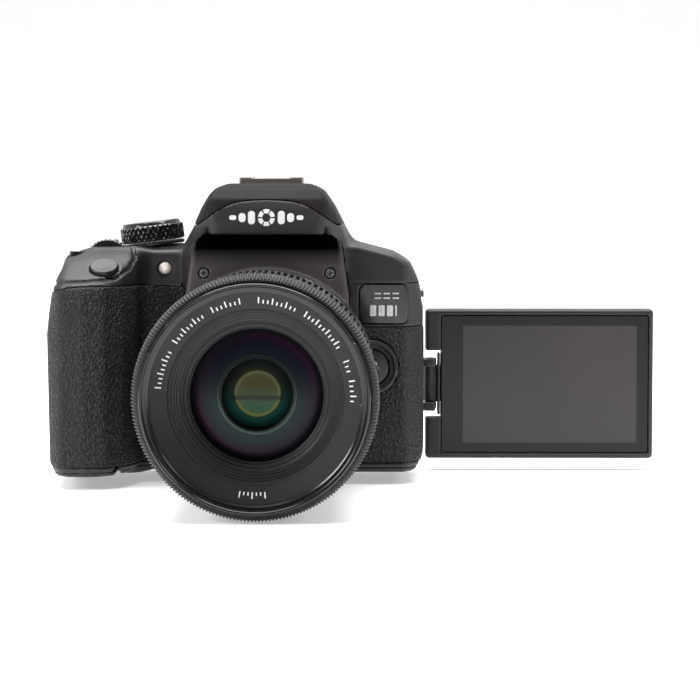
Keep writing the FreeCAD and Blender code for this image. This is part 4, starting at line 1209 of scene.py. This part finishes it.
def build_buttons():
    button("release_button_cap", 4.7, -2.0, 2.35, RELEASE_CENTRE, RELEASE_TILT, "shutter_button",
           lens_black, 0.5, -0.3)
    button("iso_button_cap", 2.4, -5.0, 0.9, (-67, -13, DECK_Z), "Z", "iso_button", gloss_black, 0.3)
    front = (CATCH[0], -20.0, CATCH[2])
    cap = [(radius, -place) for radius, place in reversed(rounded_profile(6.2, -2.9, 2.1, 0.6))]
    piece = lathe("lens_catch_cap", cap, lens_black, "lens_release_button",
                  centre=front, segments=96, smooth_angle=45)
    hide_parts("lens_release_button")
    for name, (across, up) in REAR_BUTTONS.items():
        spot = (across, back_face(across), up)
        button(name + "_cap", button_radius(name), -3.4, 0.5, spot, "Y", name, lens_black, 0.4, 0.12, 72)


build_mode_dial()
build_power_ring()
build_main_dial()
build_buttons()


# ---------------------------------------------------------------- fixed trim
def surface_depth(field, across, up, start=-45.0, end=0.0):
    """Where a line along +Y first meets a field, one place per point."""
    across, up = np.asarray(across, float), np.asarray(up, float)
    low = np.full(across.shape, start)
    for place in np.arange(start, end, 0.5):
        free = (low == place) & (field((across, np.full(across.shape, place + 0.5), up)) > 0)
        low = np.where(free, place + 0.5, low)
    high = low + 0.5
    for _ in range(12):
        middle = (low + high) / 2
        free = field((across, middle, up)) > 0
        low, high = np.where(free, middle, low), np.where(free, high, middle)
    return low


def decal(name, outlines, field, material, lift=0.1):
    """Thin raised marks that follow the front of the body."""
    work = bmesh.new()
    for outline in outlines:
        work.faces.new([work.verts.new((across, 0, up)) for across, up in outline])
    bmesh.ops.triangulate(work, faces=work.faces)
    bmesh.ops.subdivide_edges(work, edges=work.edges, cuts=3, use_grid_fill=True)
    spots = np.array([vertex.co for vertex in work.verts])
    for vertex, depth in zip(work.verts, surface_depth(field, spots[:, 0], spots[:, 2])):
        vertex.co.y = depth - lift
    walls = bmesh.ops.extrude_face_region(work, geom=list(work.faces))
    for part in walls["geom"]:
        if isinstance(part, bmesh.types.BMVert):
            part.co.y += lift + 0.15
    work.verts.index_update()
    points = [tuple(vertex.co) for vertex in work.verts]
    faces = [[vertex.index for vertex in face.verts] for face in work.faces]
    work.free()
    face_outwards(make_mesh(name, points, faces, material, CAMERA, 20))


def bar(left, right, bottom, top):
    return round_rectangle(left, right, bottom, top, min(right - left, top - bottom) * 0.45, 3)


def build_front_marks():
    """Generic marks where the maker's words would be: a ring between bars; the two rows on the badge are made
    with the badge.
    """
    middle, marks = 88.9, []
    for side in (-1, 1):
        for index in range(3):
            inner, outer = 3.9 + 3.2 * index, 6.3 + 3.2 * index
            left, right = sorted((side * inner, side * outer))
            marks.append(bar(left, right, middle - 2.3 + 0.75 * index, middle + 2.3 - 0.75 * index))
    for sector in range(6):
        begin, end = math.radians(60 * sector + 6), math.radians(60 * sector + 54)
        angles = np.linspace(begin, end, 7)
        outline = [(2.9 * math.cos(angle), middle + 2.9 * math.sin(angle)) for angle in angles]
        outline += [(1.45 * math.cos(angle), middle + 1.45 * math.sin(angle)) for angle in reversed(angles)]
        marks.append(outline)
    decal("front_emblem", marks, body_solid, white_mark)


def build_badge():
    left, right, bottom, top = BADGE
    outline = round_rectangle(left, right, bottom, top, 2.2)
    plate = slab_piece("badge", outline, -20.55, -18.6, gloss_black, CAMERA, along=1, edge=0.3)
    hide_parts("badge_plate")
    marks = []
    for index in range(3):
        low = left + 5.2 + 3.1 * index
        marks.append(bar(low, low + 2.3, 60.6, 61.1))
        marks.append(bar(low, low + 2.3, 62.2, 62.7))
    for index in range(4):
        low = left + 3.7 + 2.9 * index
        marks.append(round_rectangle(low, low + 2.1, 54.6, 58.4, 0.5, 3))
        marks[-1] = marks[-1] if index < 3 else round_rectangle(low, low + 0.5, 54.6, 58.4, 0.2, 3)
    decal("badge_marks", marks, lambda point: -20.55 - point[1] + 0.0 * point[0], silver_mark, 0.08)


def screw(name, centre):
    """A small domed screw with a cross recess."""
    def head(point):
        disc = post(point, centre, 1.5, axis=1, low=0.0, high=1.6)
        across, up = point[0] - centre[0], point[2] - centre[2]
        slots = [both(np.abs(across) - wide, np.abs(up) - tall) for wide,
                 tall in ((0.26, 0.95), (0.95, 0.26))]
        cross = either(*slots)
        cross = both(cross, point[1] - centre[1] - 0.8)
        dome = distance(across, point[1] - centre[1] - 5.2, up) - 5.2
        return cut(both(disc, dome), cross)
    low = [part - 2.0 for part in centre]
    high = [part + 2.2 for part in centre]
    return net_piece(name, head, low, high, screw_black, step=0.14)


def build_lamp():
    profile = [(0, -12.9), (0.9, -12.8), (1.6, -12.5), (2.1, -12.0), (2.25, -11.4), (2.25, -8.5), (0, -8.5)]
    kit = Nodes("lamp_lens")
    bloom = kit.add("SeparateXYZ", {0: kit.coords})
    away = kit.math("SQRT", kit.math("ADD",
                                     kit.math("POWER", kit.math("SUBTRACT", bloom.outputs["X"],
                                                                LAMP[0] * MM), 2.0),
                                     kit.math("POWER", kit.math("SUBTRACT", bloom.outputs["Z"],
                                                                LAMP[2] * MM), 2.0)))
    glow = kit.span(kit.math("ADD", away, kit.math("MULTIPLY", kit.noise(700, 2), 0.0006)), 0.0006, 0.0027,
                    1.0, 0.0)
    tone = kit.mix(glow, (0.12, 0.1, 0.09, 1), (0.86, 0.8, 0.74, 1))
    lens = kit.set(colour=tone, rough=kit.span(kit.noise(900, 2), 0.3, 0.7, 0.22, 0.32), coat=0.6,
                   coat_rough=0.08,
                   glow=tone, glow_strength=0.25)
    piece = lathe("timer_lamp_lens", profile, lens, CAMERA, centre=(LAMP[0], 0, LAMP[2]), segments=64)
    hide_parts("self_timer_lamp")


def build_shoe():
    def rails(point):
        solid = block(point, (-11.3, 10.6, 98.0), (11.3, 26, 102.6), 0.5)
        slot = block(point, (-9.4, 11.8, 99.5), (9.4, None, 101.55), 0.2)
        mouth = block(point, (-6.4, 11.8, 99.5), (6.4, None, None), 0.2)
        solid = cut(solid, either(slot, mouth))
        scoop = block(point, (-7.2, None, 102.2), (7.2, 14.0, None), 0.6)
        solid = carve(solid, scoop, 0.3)
        for side in (-1, 1):
            horn = block(point, (side * 7.9 - 0.9, 10.9, 102), (side * 7.9 + 0.9, 14.0, 102.6), 0.3)
            spring = block(point, (side * 8.2 - 0.9, 13.5, 101.0), (side * 8.2 + 0.9, 22.5, 101.7), 0.25)
            solid = either(solid, horn, spring)
        return solid
    piece = net_piece("hot_shoe_rails", rails, (-11.6, 10.2, 97.6), (11.6, 26.4, 103), shoe_metal, step=0.3)
    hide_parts("hot_shoe")

    def pedestal(point):
        base = block(point, (-12.4, 9.4, 95), (12.4, 26.3, 98.55), 0.8)
        return cut(base, hump_solid(point) + 0.4)
    net_piece("hot_shoe_pedestal", pedestal, (-12.8, 9, 94.6), (12.8, 28, 99), body_black, step=0.4)
    for index, (across, along, radius) in enumerate(((0, 18.6, 1.5), (-3.4, 14.6, 0.8), (3.4, 14.6, 0.8),
                                                     (-5.0, 20.4, 0.8), (5.0, 20.4, 0.8))):
        profile = rounded_profile(radius, 99.2, 99.72, 0.15, 3)
        lathe(f"shoe_contact_{index}", profile, steel, CAMERA, centre=(across, along, 0), axis="Z",
              segments=48)


def build_eyepiece():
    def cup(point):
        outer = prism(point, 1, round_rectangle(-17, 17, 75.2, 92.8, 5.4), 29.1, 37.0, 0.6)
        bulge = (point[1] - 29.1) / 7.9
        outer = smooth_overlap(outer, prism(point, 1, round_rectangle(-17, 17, 75.2, 92.8, 5.4), 29.1, 60,
                                            0.2)
                               + 0.9 * (1 - np.clip(bulge, 0, 1)), 0.6)
        inner = prism(point, 1, round_rectangle(-11.4, 11.4, 77.8, 90.2, 3.6), 20, 60, 0.2)
        flare = inner - 1.6 * np.clip((point[1] - 33) / 4.0, 0, 1)
        cup_form = carve(outer, flare, 1.2)
        dip = distance(point[0] + 0.0 * point[1], (point[2] - 97.2) * 0.8 + 0.0 * point[1]) - 5.2
        return carve(cup_form, both(dip, 33.2 - point[1]), 1.0)
    piece = net_piece("eyecup_rubber", cup, (-17.4, 28.8, 74.8), (17.4, 37.4, 93.2), soft_black, step=0.45)
    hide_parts("eyecup")
    frame_outline = round_rectangle(-11.2, 11.2, 78.0, 90.0, 3.4)
    slab_piece("eyepiece_frame", frame_outline, 27.4, 28.6, baffle_black, CAMERA, along=1, edge=0.2)
    window = round_rectangle(-9.4, 9.4, 79.4, 88.6, 1.6)
    slab_piece("eyepiece_window", window, 28.0, 28.9, screen_glass, CAMERA, along=1, edge=0.25)


def build_rear_dials():
    profile = [(5.3, 26.9), (5.3, 28.2), (5.7, 28.6), (8.8, 28.7), (9.2, 28.55), (9.6, 28.6), (10.2, 28.45),
               (10.5, 28.1), (10.5, 27.3), (10.3, 27.0)]

    piece = lathe("quick_dial_ring", profile, gloss_black, "quick_dial", centre=QUICK_CENTRE, segments=720,
                  wave=kept_to(5, 8, grooves(60, 0.28, 1.5)), smooth_angle=28)
    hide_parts("quick_dial")
    marks = []
    for quarter in range(4):
        marks.append(turned_outline(regular(3, 0.75, math.pi / 2), 90 * quarter, 7.3))
    points = face_marks("quick_dial_arrows", marks, 28.62, 0.12, (0, 0, 0), (0, 0, 1), white_mark,
                        "quick_dial")
    move_marks(points)
    profile = [(0, -24.2), (2.7, -24.2), (3.1, -24.0), (3.4, -23.6), (3.4, -20.4), (3.2, -20.0), (0, -20.0)]

    piece = lathe("dioptre_wheel", profile, lens_black, "dioptre_knob", centre=(0, 28.4, 84), axis="X",
                  segments=288,
                  wave=kept_to(2, 5, grooves(24, 0.3, 1.5)), smooth_angle=28)
    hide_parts("dioptre_knob")


def move_marks(piece):
    """Marks laid out flat, level with Z, are stood up on the back: their Z becomes Y about the quick dial."""
    for vertex in piece.data.vertices:
        across, along, lift = vertex.co
        vertex.co = (across + QUICK_CENTRE[0] * MM, lift, along + QUICK_CENTRE[2] * MM)
    face_outwards(piece)


REAR_ICONS = {
    "menu_button": [bar(-1.1, 1.1, 0.5, 0.8), bar(-1.1, 1.1, -0.15, 0.15), bar(-1.1, 1.1, -0.8, -0.5)],
    "info_button": [bar(-0.2, 0.2, -1.1, 0.3), regular(12, 0.28)],
    "playback_button": [regular(3, 1.2)],
    "live_view_button": [round_rectangle(-1.2, 1.2, -0.8, 0.8, 0.2, 2)],
    "erase_button": [round_rectangle(-0.75, 0.75, -1.1, 0.5, 0.2, 2), bar(-1.1, 1.1, 0.75, 1.05)],
    "exposure_lock_button": [regular(5, 1.15, math.pi / 2)],
    "af_point_button": [round_rectangle(-1.1, -0.3, -0.4, 0.4, 0.1, 2),
                        round_rectangle(0.3, 1.1, -0.4, 0.4, 0.1, 2)],
    "af_on_button": [regular(16, 1.0)],
    "quick_menu_button": [regular(4, 1.1, math.pi / 2)],
}


def build_rear_icons():
    for name, outlines in REAR_ICONS.items():
        across, up = REAR_BUTTONS[name]
        face = back_face(across) + 0.55
        points, faces = [], []
        for outline in outlines:
            near, far = [[(across - x, depth, up + z) for x, z in outline] for depth in (face, face + 0.12)]
            add_padded(points, faces, near, far)
        piece = make_mesh(name + "_icon", points, faces, white_mark, name, 20)
        face_outwards(piece)


# ---------------------------------------------------------------- screen
def screen_glass_material():
    kit = Nodes("screen_glass")
    smear = kit.noise(70, 4)
    tone = kit.mix(kit.span(smear, 0.3, 0.7), (0.009, 0.0085, 0.0085, 1), (0.013, 0.0115, 0.0115, 1))
    grime = kit.span(kit.noise(420, 4, 0.7), 0.5, 0.8)
    return kit.set(colour=tone, rough=kit.math("ADD", kit.span(smear, 0.3, 0.75, 0.1, 0.16),
                                               kit.math("MULTIPLY", grime, 0.06)),
                   normal=kit.bump(smear, 0.02, 0.00003), specular=0.2)


def picture_area_material():
    """The lit layer under the glass: fine rows of picture cells, a little paler than its black border."""
    kit = Nodes("picture_area")
    cells = kit.add("Mapping", {"Vector": kit.coords, "Scale": (9000.0, 1.0, 9000.0)}).outputs[0]
    grid = kit.add("TexVoronoi", {"Vector": cells, "Scale": 1.0, "Randomness": 0.0}).outputs["Distance"]
    cloud = kit.noise(30, 3)
    tone = kit.mix(kit.span(cloud, 0.3, 0.7), (0.034, 0.03, 0.029, 1), (0.04, 0.035, 0.034, 1))
    tone = kit.mix(kit.span(grid, 0.2, 0.7, 0, 0.2), tone, (0.03, 0.027, 0.028, 1))
    return kit.set(colour=tone, rough=kit.span(cloud, 0.3, 0.7, 0.16, 0.22), specular=0.3)


def build_screen():
    middle = SCREEN_MIDDLE
    tilt_axis = (0, HINGE_PIN[1], middle)

    def arm(point):
        barrel = post(point, HINGE_PIN, 2.4, axis=2, low=middle - 6.5, high=middle + 6.5)
        bore = post(point, HINGE_PIN, 0.98, axis=2)
        body = block(point, (59.8, 24.1, middle - 11.2), (60.8, 30.9, middle + 11.2), 0.35)
        web = block(point, (57.6, 25.5, middle - 6.5), (60.8, 29.5, middle + 6.5), 0.4)
        shaft = post(point, tilt_axis, 1.5, axis=0, low=60, high=66)
        solid = smooth_union(smooth_union(cut(barrel, bore), web, 0.5), body, 0.6)
        solid = cut(solid, bore)
        return either(solid, shaft)
    piece = net_piece("screen_hinge_arm", arm, (54.6, 23.8, middle - 11.6), (66.4, 31.2, middle + 11.6),
                      body_black,
                      body="arm", step=0.3)
    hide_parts("screen_arm")

    def shell(point):
        case = block(point, (55.4, 23.5, 0.2), (138.2, 31.5, 54.6), 1.5)
        seat = block(point, (61.1, None, 2.3), (136.5, 25.7, 52.5), 0.9)
        case = carve(case, seat, 0.35)
        notch = post(point, tilt_axis, 12.7, axis=0, low=-500, high=61.0)
        case = carve(case, notch, 0.4)
        back = block(point, (64, 31.0, 4.4), (134, None, 50.4), 1.4)
        case = carve(case, back, 0.3)
        pull = block(point, (134.6, 29.3, 21), (None, None, 34), 0.8)
        case = carve(case, pull, 0.8)
        return cut(case, post(point, tilt_axis, 1.6, axis=0, low=0, high=66.3))
    piece = net_piece("screen_case", shell, (55, 23.2, -0.2), (138.6, 31.8, 55), body_black, body="screen",
                      step=0.5)
    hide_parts("screen_shell")
    glass = slab_piece("screen_glass", round_rectangle(61.3, 136.3, 2.5, 52.3, 0.8), 23.85, 25.6,
                       screen_glass,
                       "screen", along=1, edge=0.2, steps=2)
    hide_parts("lcd_panel")
    slab_piece("screen_picture_area", round_rectangle(69.1, 132.2, 6.0, 48.6, 0.2, 2), 23.8, 24.2,
               picture_area,
               "screen", along=1, edge=0.03, steps=1)


# ---------------------------------------------------------------- doors
def build_doors():
    def battery(point):
        slab = both(body_solid(point), block(point, (-72, -33, 0.02), (-52.6, 1.5, 1.6), 0.45))
        latch = block(point, (-66, -31, None), (-58, -26.5, 0.5), 0.4)
        slab = carve(slab, cut(latch, block(point, (-63, -30.4, None), (-61, -27.1, 5), 0.2)), 0.25)
        for rib in range(5):
            slab = carve(slab, block(point, (-70, -20 + 3.2 * rib, None), (-54.6, -19 + 3.2 * rib, 0.28),
                                     0.1), 0.1)
        return slab
    piece = net_piece("battery_door_panel", battery, (-72.4, -33.4, -0.4), (-52.2, 1.9, 2), body_black,
                      body="battery_door", step=0.35)
    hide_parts("battery_door")
    for name, low in (("terminal_cover_front", -9.6), ("terminal_cover_rear", 4.0)):
        def flap(point, low=low):
            slab = block(point, (52.6, low, 24), (53.95, low + 10.4, 58), 0.35)
            tab = post(point, (54.6, low + 7.6, 55.2), 1.3, axis=0)
            slab = carve(slab, both(tab, 53.7 - point[0]), 0.2)
            edge = cut(block(point, (53.75, low + 1.1, 25.1), (None, low + 9.3, 56.9), 0.6),
                       block(point, (None, low + 1.5, 25.5), (None, low + 8.9, 56.5), 0.4))
            return carve(slab, edge, 0.12)
        piece = net_piece(name + "_panel", flap, (52.4, low - 0.4, 23.6), (54.4, low + 10.8, 58.4),
                          soft_black,
                          body=name, step=0.3)
        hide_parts(name)


def build_flash_window():
    """The ribbed lens over the flash tube, on the underside of the head."""
    def window(point):
        pane = block(point, (-13, -26, 88.15), (13, -14, 89.1), 0.3)
        for rib in range(11):
            groove = post(point, (0, -25 + rib, 88.0), 0.3, axis=0, low=-12, high=12)
            pane = carve(pane, groove, 0.15)
        return pane
    piece = net_piece("flash_tube_window", window, (-13.4, -26.4, 87.8), (13.4, -13.6, 89.5), frosted,
                      body="flash",
                      step=0.22)
    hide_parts("flash_window")


def frosted_material():
    """Milky clear plastic, a little brighter in soft random clouds."""
    kit = Nodes("frosted_plastic")
    cloud = kit.noise(240, 3)
    fine = kit.noise(4200, 2)
    tone = kit.mix(kit.span(cloud, 0.3, 0.7), (0.5, 0.52, 0.53, 1), (0.66, 0.68, 0.69, 1))
    return kit.set(colour=tone, rough=kit.span(fine, 0.3, 0.7, 0.16, 0.3), coat=0.4, coat_rough=0.1,
                   normal=kit.bump(fine, 0.2, 0.00003))


frosted = frosted_material()
build_flash_window()
screen_glass = screen_glass_material()
picture_area = picture_area_material()
build_front_marks()
build_badge()
for side, spot in PANEL_SCREWS.items():
    head = screw("panel_screw_" + side, spot)
    if side == "left":
        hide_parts("cover_screws")
build_lamp()
build_shoe()
build_eyepiece()
build_rear_dials()
build_rear_icons()
build_screen()
build_doors()

CAD_LOOKS = {
    "strap_lugs": dark_steel, "viewfinder_optics": baffle_black, "mirror_box": baffle_black,
    "shutter_unit": dark_steel, "image_sensor": screen_glass, "main_board": plate_black,
    "lens_mount_ring": steel, "tripod_socket": steel, "battery": body_black, "memory_card": gloss_black,
    "terminal_block": plate_black, "rear_optics": gloss_black, "main_mirror": steel,
}
for node, look in CAD_LOOKS.items():
    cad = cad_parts[node]
    for slot in cad.material_slots:
        slot.material = look
    bevel = cad.modifiers.new("soft_edges", "BEVEL")
    bevel.width = 0.15 * MM
    bevel.segments = 2
    bevel.limit_method = "ANGLE"


# ---------------------------------------------------------------- floor, light and camera
def build_stage():
    floor_z = -4.2
    sweep = [(-2600, floor_z)] + [(1500 + 900 * math.sin(angle), floor_z + 900 - 900 * math.cos(angle))
                                  for angle in np.linspace(0, math.pi / 2, 24)] + [(2400, 3600)]
    points = [(across, along, up) for along, up in sweep for across in (-3200, 3200)]
    faces = [[2 * index, 2 * index + 1, 2 * index + 3, 2 * index + 2] for index in range(len(sweep) - 1)]
    mesh = bpy.data.meshes.new("backdrop")
    mesh.from_pydata([tuple(part * MM for part in point) for point in points], [], faces)
    mesh.shade_smooth()
    paper = Nodes("backdrop_paper")
    fibre = paper.noise(900, 3)
    tone = paper.mix(paper.span(fibre, 0.3, 0.7), (0.86, 0.86, 0.86, 1), (0.9, 0.9, 0.9, 1))
    mesh.materials.append(paper.set(colour=tone, rough=paper.span(fibre, 0.3, 0.7, 0.7, 0.8), specular=0.1,
                                    glow=tone, glow_strength=0.42))
    floor = bpy.data.objects.new("backdrop", mesh)
    bpy.context.scene.collection.objects.link(floor)


def area_light(name, place, target, size, power, tall=None):
    data = bpy.data.lights.new(name, "AREA")
    data.shape = "RECTANGLE"
    data.size = size
    data.size_y = tall or size
    data.energy = power
    light = bpy.data.objects.new(name, data)
    light.location = place
    light.rotation_euler = (Vector(target) - Vector(place)).to_track_quat("-Z", "Y").to_euler()
    bpy.context.scene.collection.objects.link(light)


def studio_world():
    """Soft white surroundings: bright behind and above the object, dim on the side it faces."""
    world = bpy.data.worlds.new("studio")
    world.use_nodes = True
    tree = world.node_tree
    coords = tree.nodes.new("ShaderNodeTexCoord")
    apart = tree.nodes.new("ShaderNodeSeparateXYZ")
    shade = tree.nodes.new("ShaderNodeMapRange")
    tree.links.new(coords.outputs["Generated"], apart.inputs[0])
    tree.links.new(apart.outputs["Y"], shade.inputs["Value"])
    for socket, setting in (("From Min", -0.7), ("From Max", 0.7), ("To Min", 0.05), ("To Max", 1.0)):
        shade.inputs[socket].default_value = setting
    background = tree.nodes["Background"]
    background.inputs["Color"].default_value = (1, 1, 1, 1)
    tree.links.new(shade.outputs[0], background.inputs["Strength"])
    bpy.context.scene.world = world
    bpy.context.scene.view_settings.view_transform = "Standard"


def build_lights():
    studio_world()
    aim = (0.02, -0.03, 0.04)
    area_light("overhead", (0.0, 0.1, 1.2), aim, 1.3, 33)
    area_light("front_left", (-1.0, -0.6, 0.7), aim, 0.5, 11)
    area_light("front_right", (1.0, -0.4, 0.8), aim, 0.4, 4)


def build_camera():
    data = bpy.data.cameras.new("photo_camera")
    data.sensor_width = 36
    data.lens = 136.6
    data.clip_end = 30
    camera = bpy.data.objects.new("photo_camera", data)
    camera.location = (0.03736, -0.93914, 0.10706)
    camera.rotation_euler = (math.pi / 2 - 0.06978, 0, 0.00964)
    bpy.context.scene.collection.objects.link(camera)
    bpy.context.scene.camera = camera


build_stage()
build_lights()
build_camera()
